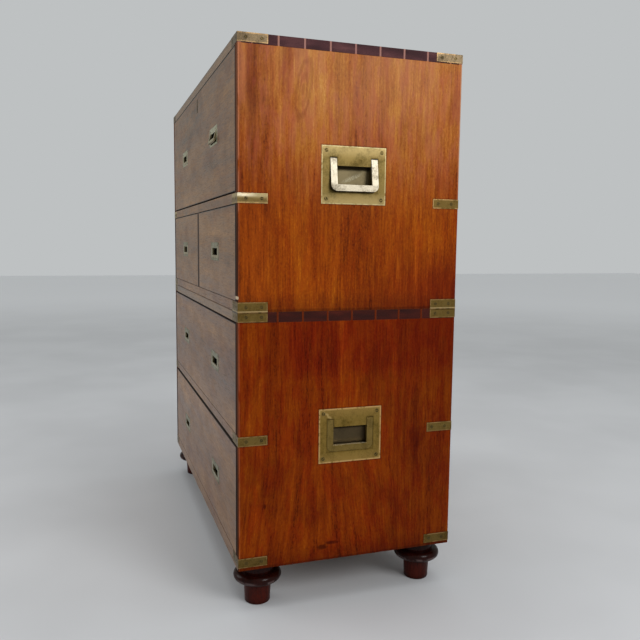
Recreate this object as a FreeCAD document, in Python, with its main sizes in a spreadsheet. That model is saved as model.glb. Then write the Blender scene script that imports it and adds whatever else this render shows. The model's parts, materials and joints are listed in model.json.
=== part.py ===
import FreeCAD, Part

# Two-part campaign chest with flush brass fittings, as separate solids, in millimetres.
#
# The origin is on the floor under the middle of the chest, +Z is up and the drawers face -Y.
# A lower section on turned feet carries an upper section that lifts off four pegs. Each section is
# a dovetailed carcase bound with let-in brass, and five drawers slide out towards -Y.

import math
import os
import types

import Sketcher
from FreeCAD import Rotation, Vector

doc = FreeCAD.newDocument("campaign_chest")

# ---------------------------------------------------------------------------------------------
# Driving sizes (millimetres and degrees)
# ---------------------------------------------------------------------------------------------

SIZES = dict(
    # carcase
    case_width=940,
    case_depth=460,
    lower_height=509.5,
    upper_height=509.5,
    board=20,
    top_board=19,
    base_board=26,
    back_board=12,
    back_lap=10,
    back_tongue=5,
    back_tongue_width=4,
    bottom_lap=6,
    arris=1.2,
    # dovetails between a section's top board and its sides
    pin_pitch=50.8,
    pin_width=4,
    pin_flare=3,
    half_pin=8,
    # drawer openings
    bottom_opening=224,
    small_opening=184,
    rail_depth=75,
    rail_housing=8,
    runner_width=50,
    stop_width=40,
    stop_depth=12,
    stop_height=6,
    # drawers
    side_gap=1,
    gap_below=1,
    top_gap_below=3,
    top_gap_above=1.5,
    small_gap_above=1.5,
    middle_gap_above=3,
    bottom_gap_above=4.5,
    running_gap=0.3,
    front_board=22,
    front_lap=6,
    drawer_side=10,
    drawer_slack=4,
    drawer_back_room=18,
    drawer_back=10,
    drawer_back_drop=12,
    drawer_back_housing=4,
    drawer_bottom=7,
    drawer_bottom_rise=9,
    drawer_groove=5,
    tail_pitch=42,
    tail_pin=5,
    tail_flare=2.2,
    # lock of the top drawer
    lock_width=64,
    lock_height=44,
    lock_depth=11,
    selvedge=2.5,
    selvedge_end=10,
    bolt_width=18,
    bolt_thickness=5,
    bolt_length=24,
    bolt_gap=0.3,
    bolt_travel=8,
    bolt_room=1.2,
    key_drop=29,
    key_round=5,
    key_slot=2.6,
    key_length=9,
    plate_of_key_width=14,
    plate_of_key_height=31,
    plate_of_key=1.8,
    # brass straps
    strap_height=19,
    cap_height=17,
    strap_side=58,
    strap_front=50,
    strap_thickness=2,
    strap_top=50,
    base_strap_rise=6,
    brass_proud=0.3,
    # feet
    foot_height=88,
    foot_collar=68,
    collar_height=21.5,
    foot_flange=98,
    flange_thick=20,
    flange_bevel=6,
    cove=4.5,
    cove_height=4.5,
    neck_height=6,
    foot_neck=55,
    foot_toe=52,
    toe_bevel=2.5,
    foot_inset=50,
    stub=26,
    stub_length=18,
    stub_room=1,
    glue_gap=0.05,
    # locating pegs
    peg=16,
    peg_rise=12,
    peg_depth=14,
    peg_nose=4,
    peg_gap=0.4,
    peg_inset_x=120,
    peg_inset_y=70,
    # carrying handles on the sides
    lower_grip_height=257.5,
    upper_grip_height=262.5,
    grip_plate_width=134,
    grip_plate_height=111,
    grip_plate=3,
    grip_bail_width=98,
    grip_arm=13,
    grip_bar=12.5,
    grip_bail=7,
    grip_corner=12,
    grip_bar_drop=32,
    grip_pivot_rise=30,
    grip_tongue_rise=17.5,
    grip_pocket=14,
    grip_undercut=5,
    grip_wall=2,
    grip_cheek=5,
    grip_spigot=5,
    grip_spigot_length=3.5,
    grip_gap=0.4,
    grip_swing=9,
    # pulls on the drawer fronts
    pull_plate_width=92,
    pull_plate_height=39,
    pull_plate=2,
    pull_bail_width=74,
    pull_arm=8.5,
    pull_bar=6.5,
    pull_bail=4.5,
    pull_corner=5,
    pull_bar_drop=14.5,
    pull_pivot_rise=11,
    pull_tongue_rise=7,
    pull_pocket=11,
    pull_undercut=3,
    pull_wall=1.5,
    pull_cheek=4,
    pull_spigot=3,
    pull_spigot_length=2.8,
    pull_gap=0.3,
    pull_swing=15,
    pull_spread=222,
    pivot_gap=0.05,
    bottom_pull_drop=10,
)


class Size:
    """A length worked out from the sheet: its number now, and the formula that keeps it true."""

    def __init__(self, number, formula):
        self.number = number
        self.formula = formula

    def __add__(self, other):
        other = as_size(other)
        return Size(self.number + other.number, f"({self.formula} + {other.formula})")

    def __sub__(self, other):
        other = as_size(other)
        return Size(self.number - other.number, f"({self.formula} - {other.formula})")

    def __mul__(self, factor):
        factor = as_size(factor)
        return Size(self.number * factor.number, f"({self.formula} * {factor.formula})")

    def __truediv__(self, divisor):
        divisor = as_size(divisor)
        return Size(self.number / divisor.number, f"({self.formula} / {divisor.formula})")

    def __neg__(self):
        return Size(-self.number, f"(0 - {self.formula})")

    def __radd__(self, other):
        return as_size(other) + self

    def __rsub__(self, other):
        return as_size(other) - self

    def __rmul__(self, other):
        return self * other


def as_size(value):
    return value if isinstance(value, Size) else Size(float(value), f"{float(value):g}")


sheet = doc.addObject("Spreadsheet::Sheet", "sizes")
for row, (alias, amount) in enumerate(SIZES.items(), start=1):
    sheet.set(f"A{row}", alias)
    sheet.set(f"B{row}", str(amount))
    sheet.setAlias(f"B{row}", alias)
doc.recompute()
cells = {alias: Size(float(amount), "sizes." + alias) for alias, amount in SIZES.items()}
s = types.SimpleNamespace(**cells)

# the swell of a quarter circle as a share of its radius
QUARTER = 1 - 0.5**0.5
# how much of a bar's thickness each bevel takes that leaves its end half an octagon
OCTAGON = 1 - 0.5**0.5
# boards across each section's back
BACK_BOARDS = 3
# the fewest tails at a drawer's corner
FEWEST_TAILS = 2
# numbers closer than this are the same when edges are picked
NEAR = 0.01

# ---------------------------------------------------------------------------------------------
# Ways of making solids
# ---------------------------------------------------------------------------------------------


def bind(thing, **properties):
    """Tie properties to sizes; x, y and z stand for the place, which keeps its rotation."""
    for name, value in properties.items():
        path = f"Placement.Base.{name}" if name in ("x", "y", "z") else name
        thing.setExpression(path, as_size(value).formula)
    return thing


def box(name, x, y, z):
    """A block between pairs of sizes along X, Y and Z."""
    block = doc.addObject("Part::Box", name)
    return bind(block, x=x[0], y=y[0], z=z[0], Length=x[1] - x[0], Width=y[1] - y[0], Height=z[1] - z[0])


def cylinder(name, radius, x, y, z):
    """An upright cylinder at (x, y) between a pair of heights."""
    rod = doc.addObject("Part::Cylinder", name)
    return bind(rod, Radius=radius, x=x, y=y, z=z[0], Height=z[1] - z[0])


def group(name, members):
    """Separate solids kept in one object."""
    bundle = doc.addObject("Part::Compound", name)
    bundle.Links = members
    return bundle


def fuse(name, members):
    joined = doc.addObject("Part::MultiFuse", name)
    joined.Shapes = members
    return joined


def cut(name, base, tool):
    cut_piece = doc.addObject("Part::Cut", name)
    cut_piece.Base = base
    cut_piece.Tool = tool
    return cut_piece


def mirror(name, source, x=0, y=0, about=0):
    """The other hand of a piece, across a plane square to X (at about) or to Y (at the middle)."""
    other_hand = doc.addObject("Part::Mirroring", name)
    other_hand.Source = source
    other_hand.Normal = Vector(x, y, 0)
    other_hand.setExpression("Base.x", as_size(about).formula)
    return other_hand


def new_body(name, x=0, y=0, z=0, turn=None):
    """An empty body; turn is a rotation that stays, x, y and z are bound to sizes."""
    body = doc.addObject("PartDesign::Body", name)
    if turn:
        body.Placement = FreeCAD.Placement(Vector(0, 0, 0), turn)
    return bind(body, x=x, y=y, z=z)


def new_sketch(body, plane, lift):
    """An empty sketch on one of the body's own planes, lifted along that plane's normal."""
    sketch = body.newObject("Sketcher::SketchObject", body.Name + "_sketch")
    role = plane + "_Plane"
    sketch.AttachmentSupport = [(next(p for p in body.Origin.OriginFeatures if p.Role == role), "")]
    sketch.MapMode = "FlatFace"
    sketch.setExpression("AttachmentOffset.Base.z", as_size(lift).formula)
    return sketch


def constrain(sketch, kind, *places, value):
    index = sketch.addConstraint(Sketcher.Constraint(kind, *places, as_size(value).number))
    sketch.setExpression(f"Constraints[{index}]", as_size(value).formula)


def outline(body, plane, points, lift=0, arcs=()):
    """A closed outline through points, pairs of sizes.

    arcs maps a point's number to a swell: the stretch from that point to the next is an arc that
    stands off its chord by so much, to the right of the way along the outline, or left if negative.
    """
    arcs = dict(arcs)
    sketch = new_sketch(body, plane, lift)
    points = [(as_size(u), as_size(v)) for u, v in points]
    places = [Vector(u.number, v.number, 0) for u, v in points]
    following = [(i + 1) % len(points) for i in range(len(points))]
    for i, place in enumerate(places):
        ahead = places[following[i]]
        if i in arcs:
            chord = ahead - place
            aside = Vector(chord.y, -chord.x, 0).normalize() * as_size(arcs[i]).number
            sketch.addGeometry(Part.Arc(place, place + chord * 0.5 + aside, ahead))
        else:
            sketch.addGeometry(Part.LineSegment(place, ahead))
    # a sketch's arcs run counter-clockwise, so one that swells to the left starts at its far end
    starts = [2 if i in arcs and as_size(arcs[i]).number < 0 else 1 for i in range(len(points))]
    for i, (u, v) in enumerate(points):
        join = ("Coincident", i, 3 - starts[i], following[i], starts[following[i]])
        sketch.addConstraint(Sketcher.Constraint(*join))
        constrain(sketch, "DistanceX", -1, 1, i, starts[i], value=u)
        constrain(sketch, "DistanceY", -1, 1, i, starts[i], value=v)
    for i, swell in arcs.items():
        (u, v), (u_ahead, v_ahead) = points[i], points[following[i]]
        chord_squared = (u_ahead - u) * (u_ahead - u) + (v_ahead - v) * (v_ahead - v)
        swell = as_size(swell) * (1 if as_size(swell).number > 0 else -1)
        constrain(sketch, "Radius", i, value=(chord_squared / 4 + swell * swell) / (swell * 2))
    return sketch


def rectangle(u, v):
    """Corner points of a rectangle between pairs of sizes."""
    return [(u[0], v[0]), (u[1], v[0]), (u[1], v[1]), (u[0], v[1])]


def disc(body, plane, radius, u, v, lift=0):
    """A round outline at (u, v)."""
    sketch = new_sketch(body, plane, lift)
    place = Vector(as_size(u).number, as_size(v).number, 0)
    sketch.addGeometry(Part.Circle(place, Vector(0, 0, 1), as_size(radius).number))
    constrain(sketch, "Radius", 0, value=radius)
    constrain(sketch, "DistanceX", -1, 1, 0, 3, value=u)
    constrain(sketch, "DistanceY", -1, 1, 0, 3, value=v)
    return sketch


def pad(body, sketch, length, back=False):
    """Material along the sketch's normal, or the other way if back."""
    feature = body.newObject("PartDesign::Pad", body.Name + "_pad")
    feature.Profile = sketch
    feature.Reversed = back
    return bind(feature, Length=length)


def pocket(body, sketch, length, out=False):
    """A cut against the sketch's normal, or along it if out."""
    feature = body.newObject("PartDesign::Pocket", body.Name + "_pocket")
    feature.Profile = sketch
    feature.Reversed = out
    return bind(feature, Length=length)


def row_of(body, feature, axis, count, length):
    """Copies of a feature spread over a length along one of the body's axes."""
    pattern = body.newObject("PartDesign::LinearPattern", body.Name + "_row")
    pattern.Originals = [feature]
    pattern.Direction = (next(a for a in body.Origin.OriginFeatures if a.Role == axis + "_Axis"), [""])
    pattern.Occurrences = count
    body.Tip = pattern
    return bind(pattern, Length=length)


def both_hands(body, features, plane):
    """The same features again on the other side of one of the body's planes."""
    mirrored = body.newObject("PartDesign::Mirrored", body.Name + "_mirrored")
    mirrored.Originals = features
    mirrored.MirrorPlane = (next(p for p in body.Origin.OriginFeatures if p.Role == plane + "_Plane"), [""])
    body.Tip = mirrored
    return mirrored


def bevelled(body, feature, size, chosen):
    """Bevel the straight edges of a feature that chosen(middle, direction) picks."""
    doc.recompute()
    names = []
    for number, edge in enumerate(feature.Shape.Edges, start=1):
        if len(edge.Vertexes) == 2:
            first, last = (vertex.Point for vertex in edge.Vertexes)
            if chosen((first + last) * 0.5, (last - first).normalize()):
                names.append(f"Edge{number}")
    bevel = body.newObject("PartDesign::Chamfer", body.Name + "_bevel")
    bevel.Base = (feature, names)
    return bind(bevel, Size=size)


# ---------------------------------------------------------------------------------------------
# Places shared by several pieces
# ---------------------------------------------------------------------------------------------

half_width = s.case_width / 2
half_depth = s.case_depth / 2
inner_width = half_width - s.board
back_face = half_depth - s.back_board

SECTIONS = {
    "lower": types.SimpleNamespace(
        base=s.foot_height,
        height=s.lower_height,
        bottom=s.base_board,
        top=s.board,
        opening=s.bottom_opening,
        grip_height=s.lower_grip_height,
    ),
    "upper": types.SimpleNamespace(
        base=s.foot_height + s.lower_height,
        height=s.upper_height,
        bottom=s.board,
        top=s.top_board,
        opening=s.small_opening,
        grip_height=s.upper_grip_height,
    ),
}
for section in SECTIONS.values():
    section.floor = section.base + section.bottom
    section.rail = section.floor + section.opening
    section.over_rail = section.rail + s.board
    section.under_top = section.base + section.height - section.top
    section.head = section.base + section.height
    section.grip = section.base + section.grip_height

parts = {}


def keep(name, piece):
    """A finished sub-part: its label is its file's name."""
    piece.Label = name
    parts[name] = piece
    return piece


# ---------------------------------------------------------------------------------------------
# Brass straps let in round the corners
# ---------------------------------------------------------------------------------------------


def corner_set(name, piece):
    """One strap at each upright corner, from the one at the front right."""
    front_left = mirror(name + "_front_left", piece, x=1)
    back_right = mirror(name + "_back_right", piece, y=1)
    back_left = mirror(name + "_back_left", front_left, y=1)
    return [piece, front_left, back_right, back_left]


def corner_strap(name, low, capped=False):
    """An angle round the front right corner; a capped one has a third leg on the top board."""
    out_x = half_width + s.brass_proud
    out_y = -half_depth - s.brass_proud
    in_x = half_width - s.strap_thickness
    in_y = s.strap_thickness - half_depth
    side_end = s.strap_side - half_depth
    front_end = half_width - s.strap_front
    body = new_body(name, z=low)
    angle = [
        (front_end, out_y),
        (out_x, out_y),
        (out_x, side_end),
        (in_x, side_end),
        (in_x, in_y),
        (front_end, in_y),
    ]
    pad(body, outline(body, "XY", angle), s.cap_height + s.brass_proud if capped else s.strap_height)
    if capped:
        reach = s.strap_top - half_depth
        leg = [
            (half_width - s.strap_top, out_y),
            (out_x, out_y),
            (out_x, reach),
            (half_width - s.strap_height, reach),
            (half_width - s.strap_height, s.strap_height - half_depth),
            (half_width - s.strap_top, s.strap_height - half_depth),
        ]
        sketch = outline(body, "XY", leg, lift=s.cap_height + s.brass_proud)
        pad(body, sketch, s.strap_thickness + s.brass_proud, back=True)
    return body


def straps(prefix):
    section = SECTIONS[prefix]
    top_level = section.head - (s.cap_height if prefix == "upper" else s.strap_height)
    foot_level = section.base + (s.base_strap_rise if prefix == "lower" else 0)
    levels = {"foot": foot_level, "rail": section.rail, "head": top_level}
    pieces = []
    for level, low in levels.items():
        name = f"{prefix}_{level}_strap"
        pieces += corner_set(name, corner_strap(name, low, capped=(prefix, level) == ("upper", "head")))
    return keep(prefix + "_straps", group(prefix + "_straps", pieces))


# ---------------------------------------------------------------------------------------------
# Carcase boards
# ---------------------------------------------------------------------------------------------


def right_side_board(prefix):
    """A side with pins standing at its top, a lapped foot, a rail housing and a handle mortise."""
    section = SECTIONS[prefix]
    body = new_body(prefix + "_side_body", z=section.base)
    profile = [
        (inner_width, -half_depth),
        (half_width - s.arris, -half_depth),
        (half_width, s.arris - half_depth),
        (half_width, half_depth - s.arris),
        (half_width - s.arris, half_depth),
        (inner_width + s.back_lap, half_depth),
        (inner_width + s.back_lap, back_face),
        (inner_width, back_face),
    ]
    pad(body, outline(body, "XY", profile), section.height)

    # sockets for the top board's tails: wide outside, narrow inside
    tail_outside = (s.pin_pitch - s.pin_width) / 2
    tail_inside = tail_outside - s.pin_flare
    end_pins = (s.half_pin + s.pin_flare * 2 + s.pin_width) * 2
    full_tails = math.floor((s.case_depth - end_pins).number / s.pin_pitch.number)
    first = -s.pin_pitch * (full_tails - 1) / 2
    socket = [
        (inner_width, first - tail_inside),
        (half_width, first - tail_outside),
        (half_width, first + tail_outside),
        (inner_width, first + tail_inside),
    ]
    tail_socket = pocket(body, outline(body, "XY", socket, lift=section.height), section.top)
    row_of(body, tail_socket, "Y", full_tails, s.pin_pitch * (full_tails - 1))
    outer_pin = s.pin_pitch * full_tails / 2 + s.pin_width / 2
    for end in (1, -1):
        end_socket = [
            (inner_width, (outer_pin + s.pin_flare) * end),
            (half_width, outer_pin * end),
            (half_width, (half_depth - s.half_pin) * end),
            (inner_width, (half_depth - s.half_pin - s.pin_flare) * end),
        ]
        pocket(body, outline(body, "XY", end_socket, lift=section.height), section.top)

    wall = s.grip_gap + s.grip_cheek
    half_mortise = s.grip_bail_width / 2 + wall
    outer = (half_width, half_width + s.board)
    tools = [
        box(
            prefix + "_bottom_lap",
            (inner_width, half_width - s.bottom_lap),
            (-half_depth, back_face),
            (section.base, section.floor),
        ),
        box(
            prefix + "_rail_housing",
            (inner_width, inner_width + s.rail_housing),
            (-half_depth, s.rail_depth - half_depth),
            (section.rail, section.over_rail),
        ),
        box(
            prefix + "_plate_recess",
            (outer[0] - s.grip_plate, outer[1]),
            (-s.grip_plate_width / 2, s.grip_plate_width / 2),
            (section.grip - s.grip_plate_height / 2, section.grip + s.grip_plate_height / 2),
        ),
        box(
            prefix + "_pan_mortise",
            (outer[0] - s.grip_pocket - s.grip_wall, outer[1]),
            (-half_mortise, half_mortise),
            (
                section.grip - s.grip_bar_drop - s.grip_gap - s.grip_wall,
                section.grip + s.grip_pivot_rise + s.grip_bail / 2 + s.grip_gap + s.grip_wall,
            ),
        ),
    ]
    return cut(prefix + "_side_worked", body, fuse(prefix + "_side_cuts", tools))


def back_boards(prefix, brass):
    """Boards across the back, tongued up into each other."""
    section = SECTIONS[prefix]
    width = (section.height - section.top + s.back_lap) / BACK_BOARDS
    tongue_front = back_face + (s.back_board - s.back_tongue_width) / 2
    half_back = inner_width + s.back_lap
    boards = []
    below = None
    for number in range(BACK_BOARDS):
        low = section.base + width * number
        name = f"{prefix}_back_board_{number + 1}"
        plank = box(name, (-half_back, half_back), (back_face, half_depth), (low, low + width))
        if number < BACK_BOARDS - 1:
            tongue = box(
                name + "_tongue",
                (-half_back, half_back),
                (tongue_front, tongue_front + s.back_tongue_width),
                (low + width, low + width + s.back_tongue),
            )
            plank = fuse(name + "_tongued", [plank, tongue])
        if below:
            plank = cut(name + "_grooved", plank, below)
        boards.append(cut(name + "_let_in", plank, brass))
        below = plank
    return group(prefix + "_back_planks", boards)


def dovetailed_top(prefix, sides):
    """The board on top, whose tails are what the pins of both sides leave of its ends."""
    section = SECTIONS[prefix]
    body = new_body(prefix + "_top_body", z=section.under_top)
    profile = []
    for x, y in ((-1, -1), (1, -1), (1, 1), (-1, 1)):
        along = (half_width * x, (half_depth - s.arris) * y)
        across = ((half_width - s.arris) * x, half_depth * y)
        profile += [along, across] if x * y > 0 else [across, along]
    pad(body, outline(body, "XY", profile), section.top)
    half_back = inner_width + s.back_lap
    rebate = box(
        prefix + "_top_rebate",
        (-half_back, half_back),
        (back_face, half_depth),
        (section.under_top, section.under_top + s.back_lap),
    )
    return cut(prefix + "_top_tailed", cut(prefix + "_top_rebated", body, rebate), sides)


def bottom_board(prefix):
    section = SECTIONS[prefix]
    half_bottom = half_width - s.bottom_lap
    levels = (section.base, section.floor)
    return box(prefix + "_bottom_blank", (-half_bottom, half_bottom), (-half_depth, back_face), levels)


def rail_and_runners(prefix):
    """The drawer rail, housed in the sides, and the runners that go on behind it."""
    section = SECTIONS[prefix]
    half_rail = inner_width + s.rail_housing
    behind_rail = s.rail_depth - half_depth
    levels = (section.rail, section.over_rail)
    rail = box(prefix + "_rail_blank", (-half_rail, half_rail), (-half_depth, behind_rail), levels)
    right = (inner_width - s.runner_width, inner_width)
    runner = box(prefix + "_right_runner", right, (behind_rail, back_face), levels)
    return rail, [runner, mirror(prefix + "_left_runner", runner, x=1)]


def drawer_stop(name, middle, low):
    """A small block that the back of a drawer front comes up against."""
    front = s.front_board - half_depth
    across = (middle - s.stop_width / 2, middle + s.stop_width / 2)
    return box(name, across, (front, front + s.stop_depth), (low, low + s.stop_height))


def carcase(prefix):
    """Everything of one section that doesn't move in it, apart from feet, pegs and handles."""
    section = SECTIONS[prefix]
    brass = straps(prefix)
    right = right_side_board(prefix)
    left = mirror(prefix + "_left_side_worked", right, x=1)
    top = dovetailed_top(prefix, group(prefix + "_both_sides", [right, left]))
    bottom = bottom_board(prefix)
    rail, inner_pieces = rail_and_runners(prefix)

    if prefix == "upper":
        mortise = box(
            "bolt_mortise",
            (-s.bolt_width / 2 - s.bolt_room, s.bolt_width / 2 + s.bolt_room),
            (bolt_front - s.bolt_room, bolt_front + s.bolt_thickness + s.bolt_room),
            (section.under_top, top_drawer_head + s.bolt_travel + s.bolt_room),
        )
        top = cut("upper_top_mortised", top, mortise)
        socket_levels = (section.base, section.base + s.peg_rise + s.peg_gap)
        sockets = group("peg_sockets", peg_holes("peg_socket", s.peg_gap, socket_levels))
        bottom = cut("upper_bottom_mortised", bottom, sockets)
        keep("upper_drawer_divider", box(
            "upper_drawer_divider",
            (-s.board / 2, s.board / 2),
            (-half_depth, back_face),
            (section.floor, section.rail),
        ))
        stop_places = {
            "small_left": (-small_middle, section.floor),
            "small_right": (small_middle, section.floor),
            "top_left": (-s.pull_spread, section.over_rail),
            "top_right": (s.pull_spread, section.over_rail),
        }
    else:
        mortise_levels = (section.head - s.peg_depth, section.head)
        mortises = group("peg_mortises", peg_holes("peg_mortise", s.glue_gap, mortise_levels))
        top = cut("lower_top_mortised", top, mortises)
        bottom = cut("lower_bottom_bored", bottom, group("foot_bores", foot_bores()))
        stop_places = {
            "bottom_left": (-s.pull_spread, section.floor),
            "bottom_right": (s.pull_spread, section.floor),
            "middle_left": (-s.pull_spread, section.over_rail),
            "middle_right": (s.pull_spread, section.over_rail),
        }
    inner_pieces += [drawer_stop(name + "_stop", *place) for name, place in stop_places.items()]
    keep(prefix + "_runners_and_stops", group(prefix + "_runners_and_stops", inner_pieces))
    keep(prefix + "_right_side", cut(prefix + "_right_side", right, brass))
    keep(prefix + "_left_side", cut(prefix + "_left_side", left, brass))
    keep(prefix + "_top_board", cut(prefix + "_top_board", top, brass))
    keep(prefix + "_bottom_board", cut(prefix + "_bottom_board", bottom, brass))
    keep(prefix + "_rail", cut(prefix + "_rail", rail, brass))
    keep(prefix + "_back_boards", back_boards(prefix, brass))


# ---------------------------------------------------------------------------------------------
# Turned feet and locating pegs
# ---------------------------------------------------------------------------------------------

foot_x = half_width - s.foot_inset
foot_y = s.foot_inset - half_depth
peg_x = half_width - s.peg_inset_x
peg_y = s.peg_inset_y - half_depth


def turned(body, profile):
    """The profile, pairs of radius and height, turned about the body's upright axis."""
    feature = body.newObject("PartDesign::Revolution", body.Name + "_turned")
    sketch = outline(body, "XZ", profile)
    feature.Profile = sketch
    feature.ReferenceAxis = (sketch, ["V_Axis"])
    feature.Angle = 360
    return feature


def turned_feet():
    """Feet with a collar, a thick flange, a cove and a tapered column; their stubs go up into bores."""
    body = new_body("front_right_foot", x=foot_x, y=foot_y, z=s.foot_height)
    rim = s.foot_flange / 2
    flange_foot = -s.collar_height - s.flange_thick
    cove_foot = flange_foot - s.cove_height
    profile = [
        (0, -s.foot_height),
        (s.foot_toe / 2 - s.toe_bevel, -s.foot_height),
        (s.foot_toe / 2, s.toe_bevel - s.foot_height),
        (s.foot_neck / 2, cove_foot - s.neck_height),
        (s.foot_neck / 2 + s.cove, cove_foot),
        (rim - s.flange_bevel, flange_foot),
        (rim, flange_foot + s.flange_bevel),
        (rim, -s.collar_height - s.flange_bevel),
        (rim - s.flange_bevel, -s.collar_height),
        (s.foot_collar / 2, -s.collar_height),
        (s.foot_collar / 2, 0),
        (s.stub / 2, 0),
        (s.stub / 2, s.stub_length),
        (0, s.stub_length),
    ]
    turned(body, profile)
    keep("turned_feet", group("turned_feet", corner_set("foot", body)))


def foot_bores():
    levels = (s.foot_height, s.foot_height + s.stub_length + s.stub_room)
    bore = cylinder("foot_bore", s.stub / 2 + s.glue_gap, foot_x, foot_y, levels)
    return corner_set("foot_bore", bore)


def locating_pegs():
    """Square pegs let into the lower section's top board, which find sockets in the upper section."""
    body = new_body("front_right_peg", x=peg_x, y=peg_y, z=SECTIONS["lower"].head)
    side = (-s.peg / 2, s.peg / 2)
    sketch = outline(body, "XY", rectangle(side, side), lift=-s.peg_depth)
    block = pad(body, sketch, s.peg_depth + s.peg_rise)
    near_top = s.peg_rise.number - NEAR
    bevelled(body, block, s.peg_nose, lambda middle, way: middle.z > near_top)
    keep("locating_pegs", group("locating_pegs", corner_set("peg", body)))


def peg_holes(name, slack, levels):
    """Holes for the four pegs, with so much slack all round, between a pair of heights."""
    reach = s.peg / 2 + slack
    hole = box(name, (peg_x - reach, peg_x + reach), (peg_y - reach, peg_y + reach), levels)
    return corner_set(name, hole)


# ---------------------------------------------------------------------------------------------
# Flush handles: a pan casting let into the wood, and a bail that turns in it
# ---------------------------------------------------------------------------------------------


def fitting(kind):
    """The sizes of one kind of flush handle, grip or pull, and the places worked out from them."""
    start = kind + "_"
    own = {alias[len(start):]: getattr(s, alias) for alias in SIZES if alias.startswith(start)}
    f = types.SimpleNamespace(**own)
    f.half_bail = f.bail_width / 2
    f.channel = f.half_bail + f.gap
    f.block = f.channel + f.cheek
    f.channel_top = f.pivot_rise + f.bail / 2 + f.gap
    f.channel_foot = -f.bar_drop - f.gap
    f.block_depth = f.bail + f.gap + f.wall
    f.depth = f.pocket + f.wall
    return f


grip = fitting("grip")
pull = fitting("pull")

FRONT = Rotation()
RIGHT = Rotation(Vector(0, 0, 1), 90)
LEFT = Rotation(Vector(0, 0, 1), -90)


def pan_plate(name, f, x, y, z, turn):
    """The casting: its plate's face is the body's XZ plane, and its pan goes back along +Y."""
    body = new_body(name, x, y, z, turn)
    half_plate, half_height = f.plate_width / 2, f.plate_height / 2
    plate = rectangle((-half_plate, half_plate), (-half_height, half_height))
    pad(body, outline(body, "XZ", plate), f.plate + s.brass_proud, back=True)
    block = rectangle((-f.block, f.block), (f.channel_foot - f.wall, f.channel_top + f.wall))
    pad(body, outline(body, "XZ", block), f.block_depth, back=True)
    half_pocket = f.half_bail - f.arm
    half_pan = half_pocket + f.wall
    pocket_foot = f.undercut - f.bar_drop
    pan = rectangle((-half_pan, half_pan), (pocket_foot - f.wall, f.tongue_rise + f.wall))
    pad(body, outline(body, "XZ", pan), f.depth, back=True)

    # the channel that the bail lies in, round a tongue left at the plate's face
    corner = f.corner + f.gap
    tongue = half_pocket - f.gap
    channel = [
        (corner - f.channel, f.channel_foot),
        (f.channel - corner, f.channel_foot),
        (f.channel, f.channel_foot + corner),
        (f.channel, f.channel_top),
        (tongue, f.channel_top),
        (tongue, f.tongue_rise),
        (-tongue, f.tongue_rise),
        (-tongue, f.channel_top),
        (-f.channel, f.channel_top),
        (-f.channel, f.channel_foot + corner),
    ]
    swells = {1: corner * QUARTER, 9: corner * QUARTER}
    pocket(body, outline(body, "XZ", channel, arcs=swells), f.bail + f.gap)
    fingers = rectangle((-half_pocket, half_pocket), (pocket_foot, f.tongue_rise))
    pocket(body, outline(body, "XZ", fingers), f.pocket)

    # half-round seats for the bail's pins in the cheeks, open at the back, where the wood closes them
    seat_radius = f.spigot / 2 + s.pivot_gap
    seat = [
        (f.bail / 2, f.pivot_rise - seat_radius),
        (f.block_depth, f.pivot_rise - seat_radius),
        (f.block_depth, f.pivot_rise + seat_radius),
        (f.bail / 2, f.pivot_rise + seat_radius),
        (f.bail / 2 - seat_radius, f.pivot_rise),
    ]
    swells = {3: seat_radius * QUARTER, 4: seat_radius * QUARTER}
    sketch = outline(body, "YZ", seat, lift=f.half_bail, arcs=swells)
    both_hands(body, [pocket(body, sketch, f.spigot_length + f.gap, out=True)], "YZ")
    return body


def bail(name, f, x, y, z, turn, swing=None):
    """The bail, with its origin at its pivot; swing lets it stand out from its channel."""
    body = new_body(name + "_body")
    foot = -f.bar_drop - f.pivot_rise
    end = f.bail / 2
    inside = f.half_bail - f.arm
    shape = [
        (f.corner - f.half_bail, foot),
        (f.half_bail - f.corner, foot),
        (f.half_bail, foot + f.corner),
        (f.half_bail, end),
        (inside, end),
        (inside, foot + f.bar),
        (-inside, foot + f.bar),
        (-inside, end),
        (-f.half_bail, end),
        (-f.half_bail, foot + f.corner),
    ]
    swells = {1: f.corner * QUARTER, 9: f.corner * QUARTER}
    bar = pad(body, outline(body, "XZ", shape, lift=f.bail / 2, arcs=swells), f.bail, back=True)
    near_end = end.number - NEAR
    bevelled(body, bar, f.bail * OCTAGON, lambda middle, way: middle.z > near_end and abs(way.x) > 1 - NEAR)
    spigot = pad(body, disc(body, "YZ", f.spigot / 2, 0, 0, lift=f.half_bail), f.spigot_length)
    both_hands(body, [spigot], "YZ")
    if swing:
        body.Placement = FreeCAD.Placement(Vector(0, 0, 0), Rotation(Vector(-1, 0, 0), swing.number))
        body.setExpression("Placement.Rotation.Angle", swing.formula)
    placed = group(name, [body])
    placed.Placement = FreeCAD.Placement(Vector(0, 0, 0), turn)
    return bind(placed, x=x, y=y, z=z)


def carrying_handles():
    for prefix, section in SECTIONS.items():
        for hand, way, turn in (("right", 1, RIGHT), ("left", -1, LEFT)):
            name = f"{prefix}_{hand}_handle"
            face = (half_width + s.brass_proud) * way
            keep(name + "_plate", pan_plate(name + "_plate", grip, face, 0, section.grip, turn))
            pivot_x = face - grip.bail / 2 * way
            swing = s.grip_swing if name == "upper_right_handle" else None
            keep(name, bail(name, grip, pivot_x, 0, section.grip + grip.pivot_rise, turn, swing))


# ---------------------------------------------------------------------------------------------
# Drawers
# ---------------------------------------------------------------------------------------------

small_middle = (s.board / 2 + inner_width) / 2
face_y = -half_depth - s.brass_proud
drawer_end = back_face - s.drawer_back_room

lower, upper = SECTIONS["lower"], SECTIONS["upper"]
full = (-inner_width, inner_width)
spread = {"left": -s.pull_spread, "right": s.pull_spread}

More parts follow.
